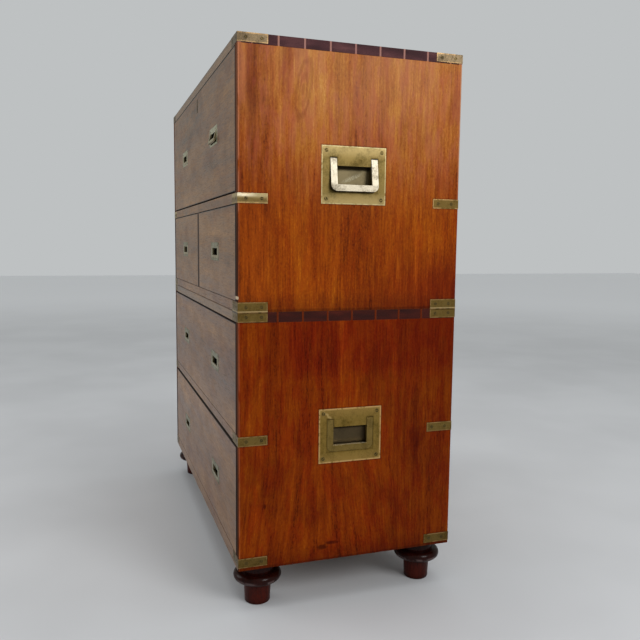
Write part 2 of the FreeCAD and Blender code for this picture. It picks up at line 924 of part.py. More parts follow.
DRAWERS = {
    "bottom_drawer": types.SimpleNamespace(
        across=full,
        levels=(lower.floor, lower.rail),
        gap_above=s.bottom_gap_above,
        gap_below=s.gap_below,
        pulls=spread,
        pull_drop=s.bottom_pull_drop,
    ),
    "middle_drawer": types.SimpleNamespace(
        across=full,
        levels=(lower.over_rail, lower.under_top),
        gap_above=s.middle_gap_above,
        gap_below=s.gap_below,
        pulls=spread,
        pull_drop=0,
    ),
    "small_left_drawer": types.SimpleNamespace(
        across=(-inner_width, -s.board / 2),
        levels=(upper.floor, upper.rail),
        gap_above=s.small_gap_above,
        gap_below=s.gap_below,
        pulls={"": -small_middle},
        pull_drop=0,
    ),
    "small_right_drawer": types.SimpleNamespace(
        across=(s.board / 2, inner_width),
        levels=(upper.floor, upper.rail),
        gap_above=s.small_gap_above,
        gap_below=s.gap_below,
        pulls={"": small_middle},
        pull_drop=0,
    ),
    "top_drawer": types.SimpleNamespace(
        across=full,
        levels=(upper.over_rail, upper.under_top),
        gap_above=s.top_gap_above,
        gap_below=s.top_gap_below,
        pulls=spread,
        pull_drop=0,
    ),
}

top_drawer_head = upper.under_top - s.top_gap_above
lock_back = s.front_board - half_depth
lock_front = lock_back - s.lock_depth
bolt_front = lock_front + (s.lock_depth - s.bolt_thickness) / 2


def drawer_side(name, outer, low, height):
    """The right side of a drawer, with tails at its front end; outer is its outside face."""
    body = new_body(name, x=outer, z=low)
    front = s.front_lap - half_depth
    shoulder = s.front_board - half_depth
    side = rectangle((front, drawer_end), (0, height))
    pad(body, outline(body, "YZ", side), s.drawer_side, back=True)
    tails = max(FEWEST_TAILS, round(height.number / s.tail_pitch.number))
    tip = s.tail_pin / 2
    root = tip + s.tail_flare
    notch = [(front, -tip), (shoulder, -root), (shoulder, root), (front, tip)]
    first = pocket(body, outline(body, "YZ", notch), s.drawer_side)
    row_of(body, first, "Z", tails + 1, height)
    return body


def drawer(name, d):
    """A dovetailed drawer with its front, its box, its bottom and its pulls."""
    left, right = d.across[0] + s.side_gap, d.across[1] - s.side_gap
    middle = (left + right) / 2
    low, high = d.levels
    foot = low + s.running_gap
    side_height = high - d.gap_above - s.drawer_slack - foot
    inside = (left + s.drawer_side, right - s.drawer_side)
    panel_foot = foot + s.drawer_bottom_rise
    panel = box(
        name + "_panel",
        (inside[0] - s.drawer_groove, inside[1] + s.drawer_groove),
        (s.front_board - half_depth - s.drawer_groove, drawer_end),
        (panel_foot, panel_foot + s.drawer_bottom),
    )
    back = box(
        name + "_back",
        (inside[0] - s.drawer_back_housing, inside[1] + s.drawer_back_housing),
        (drawer_end - s.drawer_back, drawer_end),
        (panel_foot + s.drawer_bottom, foot + side_height - s.drawer_back_drop),
    )
    held = group(name + "_held", [panel, back])
    right_side = cut(name + "_right", drawer_side(name + "_side_body", right, foot, side_height), held)
    left_side = mirror(name + "_left", right_side, x=1, about=middle)
    keep(name + "_box", group(name + "_box", [right_side, left_side, back]))
    keep(name + "_bottom", panel)

    face_levels = (low + d.gap_below, high - d.gap_above)
    blank = box(name + "_blank", (left, right), (-half_depth, s.front_board - half_depth), face_levels)
    front = cut(name + "_socketed", blank, group(name + "_sockets", [right_side, left_side, panel]))
    pull_height = (face_levels[0] + face_levels[1]) / 2 - d.pull_drop
    mortises = []
    plates = []
    for hand, x in d.pulls.items():
        pull_name = f"{name}_{hand}_pull" if hand else f"{name}_pull"
        mortises += pull_mortise(pull_name, x, pull_height)
        plates.append(pan_plate(pull_name + "_plate", pull, x, face_y, pull_height, FRONT))
        swing = s.pull_swing if pull_name == "top_drawer_right_pull" else None
        pivot = (x, face_y + pull.bail / 2, pull_height + pull.pivot_rise)
        keep(pull_name, bail(pull_name, pull, *pivot, FRONT, swing))
    keep(name + "_pull_plates", group(name + "_pull_plates", plates))
    if name == "top_drawer":
        mortises += lock_cuts()
    keep(name + "_front", cut(name + "_front", front, fuse(name + "_mortises", mortises)))


def pull_mortise(name, x, z):
    """What a pull's casting takes out of a drawer front."""
    outside = -half_depth - s.front_board
    plate = box(
        name + "_recess",
        (x - pull.plate_width / 2, x + pull.plate_width / 2),
        (outside, pull.plate - half_depth),
        (z - pull.plate_height / 2, z + pull.plate_height / 2),
    )
    pan = box(
        name + "_mortise",
        (x - pull.block, x + pull.block),
        (outside, pull.depth - half_depth),
        (z + pull.channel_foot - pull.wall, z + pull.channel_top + pull.wall),
    )
    return [plate, pan]


# ---------------------------------------------------------------------------------------------
# Lock of the top drawer
# ---------------------------------------------------------------------------------------------

key_z = top_drawer_head - s.key_drop


def lock_blocks(name):
    """The lock's case behind the front and its selvedge along the front's top edge."""
    case = box(
        name + "_case",
        (-s.lock_width / 2, s.lock_width / 2),
        (lock_front, lock_back),
        (top_drawer_head - s.lock_height, top_drawer_head),
    )
    half_selvedge = s.lock_width / 2 + s.selvedge_end
    selvedge = box(
        name + "_selvedge",
        (-half_selvedge, half_selvedge),
        (lock_front, lock_back),
        (top_drawer_head - s.selvedge, top_drawer_head),
    )
    return [case, selvedge]


def escutcheon_block(name, depth):
    half_plate = s.plate_of_key_width / 2
    return box(
        name,
        (-half_plate, half_plate),
        (-half_depth - s.brass_proud, depth - half_depth),
        (key_z - s.plate_of_key_height / 2, key_z + s.plate_of_key_height / 2),
    )


def keyhole(name, back):
    """A round hole over a slot, from the front's face back to a depth."""
    body = new_body(name, y=back)
    half_slot = s.key_slot / 2
    slot = rectangle((-half_slot, half_slot), (key_z - s.key_length, key_z))
    length = back + half_depth + s.front_board
    pad(body, outline(body, "XZ", slot), length)
    pad(body, disc(body, "XZ", s.key_round / 2, 0, key_z), length)
    return body


def lock_cuts():
    """What the lock, its escutcheon and the key take out of the top drawer's front."""
    key_way = keyhole("key_way", lock_front)
    return lock_blocks("lock_room") + [escutcheon_block("escutcheon_room", s.plate_of_key), key_way]


def lock():
    channel = box(
        "bolt_channel",
        (-s.bolt_width / 2 - s.bolt_gap, s.bolt_width / 2 + s.bolt_gap),
        (bolt_front - s.bolt_gap, bolt_front + s.bolt_thickness + s.bolt_gap),
        (top_drawer_head - s.bolt_length - s.bolt_gap, top_drawer_head),
    )
    keep("lock_case", cut("lock_case", fuse("lock_solid", lock_blocks("lock")), channel))
    keep("lock_bolt", box(
        "lock_bolt",
        (-s.bolt_width / 2, s.bolt_width / 2),
        (bolt_front, bolt_front + s.bolt_thickness),
        (top_drawer_head - s.bolt_length, top_drawer_head),
    ))
    plate = escutcheon_block("escutcheon_blank", s.plate_of_key)
    keep("key_escutcheon", cut("key_escutcheon", plate, keyhole("escutcheon_keyhole", lock_front)))


# ---------------------------------------------------------------------------------------------
# The whole chest
# ---------------------------------------------------------------------------------------------

carcase("lower")
carcase("upper")
turned_feet()
locating_pegs()
carrying_handles()
for drawer_name, description in DRAWERS.items():
    drawer(drawer_name, description)
lock()
doc.recompute()

failed = [thing.Name for thing in doc.Objects if {"Invalid", "Error"} & set(thing.State)]
if failed:
    raise RuntimeError("not built: " + ", ".join(failed))
for name, piece in parts.items():
    if piece.Shape.isNull() or not piece.Shape.isValid() or not piece.Shape.Solids:
        raise RuntimeError("not a sound solid: " + name)

os.makedirs("parts", exist_ok=True)
for name, piece in parts.items():
    piece.Shape.exportStep(f"parts/{name}.step")
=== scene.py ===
"""Looks of a two-part campaign chest: figured woods, aged brass, screws, turned feet, light and camera.

Lengths are in metres in the chest's own frame: +X to the right of someone who faces the drawers,
+Y to the back, +Z up. The right side board, at +X, is the one that the camera looks at.

In the materials the bounds of x, y and z are such lengths too, the rates and scales of noise are per
metre, and the number after a zone in lay, darken and dull is its strength, from 0 to 1.
"""

import json
import math
import random

import bmesh
import bpy
from mathutils import Matrix, Vector

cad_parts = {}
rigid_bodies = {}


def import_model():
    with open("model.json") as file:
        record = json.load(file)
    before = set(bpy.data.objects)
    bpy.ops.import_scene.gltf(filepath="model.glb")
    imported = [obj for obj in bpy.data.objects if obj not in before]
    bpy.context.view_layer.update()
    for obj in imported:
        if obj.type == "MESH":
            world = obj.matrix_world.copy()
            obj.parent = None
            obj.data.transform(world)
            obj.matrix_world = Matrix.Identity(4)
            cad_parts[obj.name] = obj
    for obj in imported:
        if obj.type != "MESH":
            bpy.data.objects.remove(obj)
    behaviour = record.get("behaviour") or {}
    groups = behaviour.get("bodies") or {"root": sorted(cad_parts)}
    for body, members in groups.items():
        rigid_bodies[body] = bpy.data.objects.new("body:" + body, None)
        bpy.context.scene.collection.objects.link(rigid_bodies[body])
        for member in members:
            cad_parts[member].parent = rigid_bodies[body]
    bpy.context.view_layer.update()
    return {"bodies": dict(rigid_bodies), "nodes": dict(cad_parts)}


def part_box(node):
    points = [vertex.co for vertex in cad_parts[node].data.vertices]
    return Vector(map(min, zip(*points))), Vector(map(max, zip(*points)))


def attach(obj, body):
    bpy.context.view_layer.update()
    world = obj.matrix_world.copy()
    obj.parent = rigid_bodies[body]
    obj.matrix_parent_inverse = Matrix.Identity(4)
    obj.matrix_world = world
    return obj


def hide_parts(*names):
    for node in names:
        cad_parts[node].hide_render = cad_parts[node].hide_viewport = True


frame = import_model()
nodes = frame["nodes"]

# ----------------------------------------
# Places, from the frame
# ----------------------------------------

HALF_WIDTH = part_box("upper_right_side")[1].x
HALF_DEPTH = -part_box("upper_right_side")[0].y
BOARD = HALF_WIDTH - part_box("upper_right_side")[0].x
STRAP_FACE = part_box("upper_straps")[1].x
BRASS_PROUD = STRAP_FACE - HALF_WIDTH

SECTIONS = ("lower", "upper")
BASE = {name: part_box(name + "_right_side")[0].z for name in SECTIONS}
HEAD = {name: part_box(name + "_right_side")[1].z for name in SECTIONS}
UNDER_TOP = {name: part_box(name + "_top_board")[0].z for name in SECTIONS}

# the straps' height, that of the capped corners' side legs, and how far side legs reach from the corner
STRAP_HEIGHT = 0.019
CAP_HEIGHT = 0.017
STRAP_SIDE = 0.058

# the middle and half the height of each section's straps, from the lowest up
HEAD_STRAP = {"lower": STRAP_HEIGHT, "upper": CAP_HEIGHT}
STRAP_LEVELS = {
    name: (
        (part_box(name + "_straps")[0].z + STRAP_HEIGHT / 2, STRAP_HEIGHT / 2),
        (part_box(name + "_rail")[0].z + STRAP_HEIGHT / 2, STRAP_HEIGHT / 2),
        (HEAD[name] - HEAD_STRAP[name] / 2, HEAD_STRAP[name] / 2),
    )
    for name in SECTIONS
}

# over two of the drawers, a painted shadow in the gap: the foot of the wood above the gap, and how far the
# shadow spreads
HEAD_SHADOWS = {
    "bottom_drawer_front": (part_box("lower_rail")[0].z, 0.0019),
    "middle_drawer_front": (UNDER_TOP["lower"], 0.0003),
}

# in a handle plate, from its middle: the bail's channel, the tongue between its arms, the pan's upper lip
CHANNEL_HALF, CHANNEL_TOP, CHANNEL_FOOT = 0.0494, 0.0339, 0.0324
TONGUE_HALF, PAN_TOP = 0.0356, 0.0175

# how far let-in brass is drawn back from its CAD face, so that screw heads stay within the CAD box
DRAW_BACK = 0.0001

# corners of the CAD mesh that are nearer than this are one corner
SAME_PLACE = 1e-5


def middle_and_half(low, high):
    """The middle of a box given by two corners, and half its size."""
    return (low + high) / 2, (high - low) / 2


def with_settings(thing, **settings):
    """A Blender thing whose settings have been made."""
    for name, value in settings.items():
        setattr(thing, name, value)
    return thing


def srgb(red, green, blue):
    """A colour given as 0 to 255 in sRGB, as the linear colour that shaders take."""
    shares = (channel / 255 for channel in (red, green, blue))
    linear = [s / 12.92 if s <= 0.04045 else ((s + 0.055) / 1.055) ** 2.4 for s in shares]
    return (*linear, 1.0)


# ----------------------------------------
# Material graphs
# ----------------------------------------

BUMP_DEPTH, BUMP_STRENGTH = 0.0002, 0.4

# for each kind of mix node: the places of its share and its two values, and that of its result
MIX_SOCKETS = {"FLOAT": ((0, 2, 3), 0), "RGBA": ((0, 6, 7), 2)}


class Graph:
    """A material whose nodes are made by short calls, each of which gives back a socket."""

    def __init__(self, name):
        self.material = bpy.data.materials.new(name)
        self.material.use_nodes = True
        self.tree = self.material.node_tree
        self.tree.nodes.clear()
        coordinates = self.node("ShaderNodeTexCoord")
        self.place = coordinates.outputs["Object"]
        self.x, self.y, self.z = self.split(self.place)
        self.facing = self.split(coordinates.outputs["Normal"])

    def node(self, kind, inputs=None, **settings):
        """A node; inputs are numbers or sockets, by the place or name of the input that takes them."""
        made = with_settings(self.tree.nodes.new(kind), **settings)
        for place, value in (inputs or {}).items():
            if isinstance(value, bpy.types.NodeSocket):
                self.tree.links.new(value, made.inputs[place])
            else:
                made.inputs[place].default_value = value
        return made

    def shift(self, x=0.0, y=0.0, z=0.0):
        """Move the pattern's place by numbers or sockets, so that the grain bends."""
        move = self.node("ShaderNodeCombineXYZ", {0: x, 1: y, 2: z}).outputs[0]
        self.place = self.node("ShaderNodeVectorMath", {0: self.place, 1: move}, operation="ADD").outputs[0]

    def split(self, vector):
        return tuple(self.node("ShaderNodeSeparateXYZ", {0: vector}).outputs)

    def math(self, operation, *values):
        return self.node("ShaderNodeMath", dict(enumerate(values)), operation=operation).outputs[0]

    def chain(self, operation, values):
        """One operation over two or more values, from the first to the last."""
        total = values[0]
        for value in values[1:]:
            total = self.math(operation, total, value)
        return total

    def add(self, *values):
        return self.chain("ADD", values)

    def times(self, *values):
        return self.chain("MULTIPLY", values)

    def most(self, *values):
        return self.chain("MAXIMUM", values)

    def least(self, *values):
        return self.chain("MINIMUM", values)

    def less(self, value, taken):
        return self.math("SUBTRACT", value, taken)

    def off(self, value, middle=0.0):
        """How far a value is from a middle, to either side."""
        return self.math("ABSOLUTE", self.less(value, middle))

    def beyond(self, value, middle, half):
        """How far a value is past the ends of a span; negative within it."""
        return self.less(self.off(value, middle), half)

    def distance(self, a, b):
        """The length of the diagonal over two lengths."""
        return self.math("SQRT", self.add(self.times(a, a), self.times(b, b)))

    def over(self, value, low, high):
        """0 below low, 1 above high and smooth between them."""
        inputs = {"Value": value, "From Min": low, "From Max": high}
        return self.node("ShaderNodeMapRange", inputs, interpolation_type="SMOOTHSTEP").outputs[0]

    def under(self, value, low, high):
        """1 below low, 0 above high."""
        return self.less(1.0, self.over(value, low, high))

    def band(self, value, low, full, fading, high):
        """1 from full to fading, 0 below low and above high."""
        return self.times(self.over(value, low, full), self.under(value, fading, high))

    def rising(self, where, start, end):
        """From start where the zone is 0 to end where it is 1."""
        return self.add(start, self.times(where, end - start))

    def stretched(self, along, across_rate, along_rate, seed=0.0):
        """The place with its own rate of change per metre along the grain and across it."""
        rates = [along_rate if axis == along else across_rate for axis in "XYZ"]
        inputs = {"Vector": self.place, "Scale": rates, "Location": (seed, seed * 0.7, seed * 1.3)}
        return self.node("ShaderNodeMapping", inputs).outputs[0]

    def noise(self, at, detail=4.0, roughness=0.5, distortion=0.0, scale=1.0):
        inputs = {"Vector": at, "Scale": scale, "Detail": detail, "Roughness": roughness}
        return self.node("ShaderNodeTexNoise", {**inputs, "Distortion": distortion}).outputs[0]

    def blotches(self, scale, low, high, detail=3, roughness=0.5):
        """Blotches that run no way: 0 where the noise is under low, 1 where it is over high."""
        return self.over(self.noise(self.place, detail, roughness, scale=scale), low, high)

    def wander(self, noise, reach):
        """Noise as a way to either side, by about a quarter of the reach."""
        return self.times(self.less(noise, 0.5), reach)

    def mix(self, share, below, above, kind="RGBA", blend="MIX"):
        places, result = MIX_SOCKETS[kind]
        inputs = dict(zip(places, (share, below, above)))
        return self.node("ShaderNodeMix", inputs, data_type=kind, blend_type=blend).outputs[result]

    def lay(self, where, strength, colour):
        """Lay a colour over the surface's own, at a strength where the zone is 1."""
        self.colour = self.mix(self.times(where, strength), self.colour, colour)

    def darken(self, where, strength, factor):
        """Multiply the surface's colour by a factor, grey or tinted."""
        self.colour = self.mix(self.times(where, strength), self.colour, factor, blend="MULTIPLY")

    def ramp(self, value, stops):
        """Colours at stops, pairs of a place from 0 to 1 and a colour."""
        made = self.node("ShaderNodeValToRGB", {0: value})
        made.color_ramp.interpolation = "EASE"
        elements = made.color_ramp.elements
        while len(elements) < len(stops):
            elements.new(0.5)
        for element, (position, colour) in zip(elements, stops):
            with_settings(element, position=position, color=colour)
        return made.outputs[0]

    def spot(self, across, up, half_width, half_height):
        """1 on a ragged oval; across and up are how far a point is from its middle."""
        a = self.times(across, 1 / half_width)
        b = self.times(up, 1 / half_height)
        ragged = self.times(self.noise(self.place, scale=260), 1.6)
        return self.under(self.add(self.times(a, a), self.times(b, b), ragged), 0.8, 2.6)

    def margin(self, across, up, inner, outer):
        """1 on a rectangle and its margin; across and up are how far beyond its sides a point is."""
        return self.under(self.most(across, up), inner, outer)

    def finish(self, colour, roughness, height=None, plain=None):
        """The surface; plain has the shader's own inputs that are the same all over."""
        inputs = {"Base Color": colour, "Roughness": roughness, **(plain or {})}
        if height is not None:
            bump = {"Distance": BUMP_DEPTH, "Strength": BUMP_STRENGTH, "Height": height}
            inputs["Normal"] = self.node("ShaderNodeBump", bump).outputs[0]
        shader = self.node("ShaderNodeBsdfPrincipled", inputs)
        self.node("ShaderNodeOutputMaterial", {0: shader.outputs[0]})
        return self.material


# ----------------------------------------
# Woods
# ----------------------------------------

# the share of each layer of the grain in its tone, but for the stripes' own, and the tones' places
CLOUD_SHARE, FIBRE_SHARE, SPECKLE_SHARE = 0.18, 0.26, 0.20
TONE_PLACES = (0.405, 0.47, 0.53, 0.605)

VARNISH_IOR, BARE_IOR = 1.42, 1.35
FRONT_TONES = (srgb(70, 42, 18), srgb(106, 68, 30), srgb(130, 88, 42), srgb(160, 114, 62))
LINING_TONES = (srgb(128, 88, 54), srgb(156, 112, 70), srgb(172, 128, 84), srgb(192, 150, 104))

BACK_BOARDS = 3
BACK_TONES = {
    "lower": (srgb(78, 50, 32), srgb(102, 68, 44), srgb(118, 80, 52), srgb(140, 100, 68)),
    "upper": (srgb(84, 56, 36), srgb(110, 76, 48), srgb(126, 88, 58), srgb(150, 110, 76)),
}

# the faces of the pins between the tails of the top boards
PIN_COLOUR = {"lower": srgb(96, 40, 18), "upper": srgb(150, 112, 112)}

DARK_EDGE = srgb(30, 13, 6)

# how much the old polish of the sides still mirrors
SIDE_GLOSS = {"lower": 0.06, "upper": 0.09}

# the colours of end grain, from its darkest to its palest, on the lower and the upper top board
END_PLACES = (0.38, 0.50, 0.64)
LOW_END = (srgb(38, 5, 1), srgb(56, 10, 1), srgb(86, 25, 7))
HIGH_END = (srgb(46, 20, 23), srgb(68, 34, 38), srgb(102, 60, 60))


class Wood(Graph):
    """Grain that runs along one axis, from broad clouds of tone to pores; bend shifts its place first."""

    def __init__(self, name, along, tones, seed, streak=0.26, bend=None):
        super().__init__(name)
        self.along = along
        if bend:
            bend(self)
        cloud = self.grain(9, 1.1, seed, detail=3)
        stripe = self.grain(58, 2.4, seed, detail=6, roughness=0.66, distortion=0.3)
        fibre = self.grain(260, 17, seed, detail=5, roughness=0.70)
        mottle = self.grain(36, 17, seed, detail=5, roughness=0.66)
        speckle = self.grain(340, 160, seed, detail=4, roughness=0.7)
        self.tone = self.add(
            self.times(cloud, CLOUD_SHARE),
            self.times(stripe, streak),
            self.times(fibre, FIBRE_SHARE),
            self.times(speckle, SPECKLE_SHARE),
            self.times(mottle, 1 - CLOUD_SHARE - FIBRE_SHARE - SPECKLE_SHARE - streak),
        )
        self.colour = self.toned(tones)
        pores = self.patches(900, 36, seed, 0.58, 0.70, detail=2)
        self.darken(pores, 0.55, (0.45, 0.38, 0.34, 1))
        self.roughness = self.add(self.times(stripe, 0.16), self.times(pores, 0.18), 0.24)
        self.height = self.less(self.times(fibre, 0.5), self.times(pores, 0.6))

    def grain(self, across_rate, along_rate, seed=0.0, **settings):
        """Noise drawn out along the grain."""
        return self.noise(self.stretched(self.along, across_rate, along_rate, seed), **settings)

    def patches(self, across_rate, along_rate, seed, low, high, **settings):
        """Patches drawn out along the grain: 0 where the noise is under low, 1 where it is over high."""
        return self.over(self.grain(across_rate, along_rate, seed, **settings), low, high)

    def toned(self, tones):
        """The grain's colours, from its darkest to its palest."""
        return self.ramp(self.tone, list(zip(TONE_PLACES, tones)))

    def dull(self, where, strength, roughness):
        """Lay a roughness over the surface's own, at a strength where the zone is 1."""
        self.roughness = self.mix(self.times(where, strength), self.roughness, roughness, kind="FLOAT")

    def on_right(self, where):
        """A zone kept to the right side of the chest."""
        return self.times(where, self.over(self.x, 0.0, 0.1))

    def done(self, plain=None):
        return self.finish(self.colour, self.roughness, self.height, {"IOR": VARNISH_IOR, **(plain or {})})


def side_grime_and_shade(w, section):
    """Dark lines in the wood round the handle plate and the straps' legs: grime, and painted shade in the
    gap beside the brass.
    """
    middle, half = middle_and_half(*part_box(section + "_right_handle_plate"))
    lines = w.margin(w.beyond(w.y, 0.0, half.y), w.beyond(w.z, middle.z, half.z), 0.0006, 0.0030)
    leg_across = w.less(HALF_DEPTH - STRAP_SIDE, w.off(w.y))
    for level, half_strap in STRAP_LEVELS[section]:
        leg = w.margin(leg_across, w.beyond(w.z, level, half_strap), 0.0003, 0.0024)
        lines = w.most(lines, leg)
    # grime, and painted shade in the gap beside the brass
    w.darken(lines, 0.45, (0.36, 0.28, 0.24, 1))


def side_edges(w, section, rubbed_share, front_shade):
    """The rubbed arrises, the dark foot of a side, its front face, darker on its lower half and with
    painted shade beside the drawers, and the faces of the pins.
    """
    base = BASE[section]
    rubs = w.grain(160, 22, detail=3)
    arris = w.times(w.under(w.add(w.y, HALF_DEPTH), 0.0012, 0.0050), w.over(rubs, 0.30, 0.48))
    w.lay(arris, rubbed_share, srgb(205, 132, 96))
    back_arris = w.over(w.y, HALF_DEPTH - 0.0040, HALF_DEPTH - 0.0016)
    w.lay(w.times(back_arris, w.over(w.z, 0.80, 0.90), w.over(rubs, 0.36, 0.54)), 0.55, srgb(204, 164, 130))
    w.darken(w.under(w.z, base + 0.004, base + 0.042), 0.52, (0.42, 0.34, 0.32, 1))
    w.darken(w.under(w.z, base + 0.003, base + 0.007), 0.55, (0.40, 0.40, 0.50, 1))
    w.lay(w.over(w.z, UNDER_TOP[section] + 0.0002, UNDER_TOP[section] + 0.0010), 0.70, PIN_COLOUR[section])

    front_face = w.under(w.facing[1], -0.75, -0.30)
    w.lay(front_face, 0.76, srgb(70, 36, 16))
    lower_half = w.under(w.z, base + 0.16, base + 0.30)
    w.lay(w.times(front_face, lower_half), 0.60, DARK_EDGE)
    # painted shade: beside the drawers, the inner half of the front face is laid near-black
    beside_drawers = w.under(w.off(w.x), HALF_WIDTH - 0.60 * BOARD, HALF_WIDTH - 0.45 * BOARD)
    w.lay(w.times(front_face, beside_drawers), front_shade, DARK_EDGE)
    w.dull(front_face, 0.85, 0.80)


def eye_figure(w):
    """An oval figure in the upper side's grain, like an eye, that leans a little."""
    eye_y, eye_z, lean, half_width, half_height = -0.1035, 1.016, 0.146, 0.014, 0.052
    above = w.add(w.z, -eye_z)
    a = w.times(w.add(w.y, -eye_y, w.times(above, -lean)), 1 / half_width)
    b = w.times(above, 1 / half_height)
    ring = w.add(w.distance(a, b), w.wander(w.grain(90, 40, detail=3), 0.45))
    outline = w.under(w.off(ring, 1.0), 0.05, 0.26)
    inner = w.under(w.off(ring, 0.52), 0.04, 0.20)
    core = w.under(ring, 0.10, 0.30)
    w.darken(w.most(outline, w.times(inner, 0.6), core), 0.42, srgb(176, 130, 112))


def chipped_arris(w):
    """A pale chip in the right front arris, above the lowest strap."""
    chip_z, squeeze, rough_reach = 0.6250, 1.6, 0.004
    off_chip = w.distance(w.times(w.add(w.y, HALF_DEPTH), squeeze), w.less(w.z, chip_z))
    ragged = w.add(off_chip, w.times(w.noise(w.place, scale=700), rough_reach))
    w.lay(w.on_right(w.under(ragged, 0.0042, 0.0056)), 1.0, srgb(206, 184, 154))


def upper_side_wood():
    tones = (srgb(90, 31, 1), srgb(132, 55, 2), srgb(154, 73, 4), srgb(184, 100, 12))
    w = Wood("upper_side_wood", "Z", tones, seed=3.1)

    # painted light: the same wood paler towards the top, where more light falls, less so at the front
    lit_tones = w.toned((srgb(122, 60, 18), srgb(167, 99, 35), srgb(189, 123, 50), srgb(211, 151, 76)))
    towards_front = w.under(w.y, -0.20, -0.09)
    w.lay(w.over(w.z, 0.76, 1.04), w.rising(towards_front, 1.0, 0.52), lit_tones)

    # pinkish patches towards the top, and redder patches and drifts along the grain
    pink = w.patches(46, 12, 6.0, 0.43, 0.60, roughness=0.66)
    w.lay(w.times(pink, w.over(w.z, 0.78, 0.96)), 0.40, srgb(176, 98, 72))
    w.darken(w.patches(52, 16, 7.5, 0.44, 0.60, roughness=0.66), 0.50, (0.95, 0.72, 0.80, 1))
    w.darken(w.patches(24, 2.0, 9.0, 0.44, 0.62), 0.36, (1.0, 0.80, 0.78, 1))

    # redder and darker towards the lower back corner
    lower_back = w.times(w.over(w.y, -0.06, 0.18), w.under(w.z, 0.63, 0.76))
    w.darken(lower_back, 1.0, (0.60, 0.34, 0.44, 1))

    # a dark purple-brown streak near the front, strongest at the top
    inset, sway = 0.030, 0.030
    off_streak = w.off(w.add(w.y, w.wander(w.grain(9, 5, detail=3), sway), HALF_DEPTH - inset))
    streak = w.times(w.under(off_streak, 0.004, 0.017), w.over(w.z, 0.80, 1.00))
    w.darken(streak, 0.58, srgb(184, 142, 152))
    eye_figure(w)

    # a brighter margin along the front below the rail
    brighter = w.toned((srgb(122, 50, 3), srgb(150, 66, 6), srgb(168, 80, 10), srgb(192, 102, 22)))
    front_margin = w.under(w.add(w.y, HALF_DEPTH), 0.035, 0.085)
    w.lay(w.times(front_margin, w.under(w.z, 0.76, 0.86)), 0.60, brighter)

    # darker smoky patches, and a painted pale sheen near the top, where light from above reflects
    w.darken(w.patches(20, 6.5, 1.7, 0.52, 0.68), 0.42, srgb(190, 150, 140))
    top_sheen = w.times(w.over(w.z, 0.86, 1.10), w.patches(11, 3, 8.0, 0.40, 0.62, detail=3))
    w.lay(top_sheen, 0.22, srgb(192, 134, 92))

    rubbed_share = w.rising(w.over(w.z, 0.70, 0.88), 0.12, 0.58)
    # how strong the painted shade beside the drawers is, weaker near the top
    front_shade = w.rising(w.over(w.z, 0.80, 0.84), 0.92, 0.62)
    side_edges(w, "upper", rubbed_share, front_shade)
    side_grime_and_shade(w, "upper")
    chipped_arris(w)
    return w.done({"Specular IOR Level": SIDE_GLOSS["upper"]})


def flame(w):
    """Below the handle the grain spreads a little from an axis left of the middle, like a flame."""
    axis, tip, spread = -0.062, 0.300, 0.13
    below = w.most(w.less(tip, w.z), 0.0)
    side = w.add(w.times(w.over(w.y, axis - 0.110, axis + 0.090), -2.0), 1.0)
    near = w.under(w.off(w.y, axis), 0.10, 0.26)
    w.shift(y=w.times(below, side, near, spread))


def lower_side_wood():
    tones = (srgb(82, 26, 1), srgb(117, 43, 2), srgb(133, 56, 3), srgb(155, 75, 6))
    w = Wood("lower_side_wood", "Z", tones, seed=11.4, bend=flame)

    # redder patches, darker red streaks and smoky patches
    w.darken(w.patches(44, 15, 6.0, 0.43, 0.59, roughness=0.66), 0.75, (0.92, 0.58, 0.70, 1))
    w.darken(w.patches(30, 2.4, 5.0, 0.52, 0.66, roughness=0.6), 0.40, srgb(184, 120, 104))
    w.darken(w.patches(14, 8, 2.0, 0.54, 0.70), 0.40, srgb(172, 152, 150))

    # redder under the joint of the sections, and darker towards the back
    under_joint = w.times(w.over(w.z, 0.45, 0.49), w.over(w.y, -0.17, -0.12))
    w.darken(under_joint, 1.0, (0.84, 0.58, 0.80, 1))
    w.darken(w.over(w.y, 0.02, 0.16), 0.40, srgb(168, 160, 160))

    # small dark marks: centre across and up, half width and half height
    marks = (
        (-0.177, 0.214, 0.0030, 0.0055),
        (-0.057, 0.116, 0.0110, 0.0050),
        (-0.038, 0.123, 0.0130, 0.0036),
    )
    for mark_y, mark_z, half_width, half_height in marks:
        mark = w.spot(w.add(w.y, -mark_y), w.add(w.z, -mark_z), half_width, half_height)
        w.darken(w.on_right(mark), 1.0, (0.38, 0.30, 0.28, 1))
    side_edges(w, "lower", rubbed_share=0.22, front_shade=0.92)
    side_grime_and_shade(w, "lower")
    return w.done({"Specular IOR Level": SIDE_GLOSS["lower"]})


def top_board_wood():
    """Long grain across the chest, and dark end grain where the tails come through the sides."""
    w = Wood("top_board_wood", "X", FRONT_TONES, seed=6.2)
    end = w.over(w.off(w.facing[0]), 0.55, 0.80)
    speckle = w.noise(w.place, scale=900, detail=3)
    cloudy = w.noise(w.stretched("Y", 60, 14))
    grain = w.add(w.times(speckle, 0.5), w.times(cloudy, 0.5))
    low_end, high_end = (w.ramp(grain, list(zip(END_PLACES, tones))) for tones in (LOW_END, HIGH_END))
    w.lay(end, 1.0, w.mix(w.over(w.z, 0.8, 0.9), low_end, high_end))
    front_edge = w.under(w.facing[1], -0.9, -0.6)
    # painted sheen: the front edge is laid grey, as its polish mirrors the pale room
    w.lay(front_edge, 0.26, srgb(138, 140, 134))
    rim = w.less(HEAD["upper"], w.z)
    w.darken(w.times(front_edge, w.under(rim, 0.0008, 0.0026)), 0.8, (0.30, 0.30, 0.30, 1))
    front_grime_and_shade(w)
    w.dull(end, 1.0, 0.62)
    return w.done({"Specular IOR Level": 0.22})


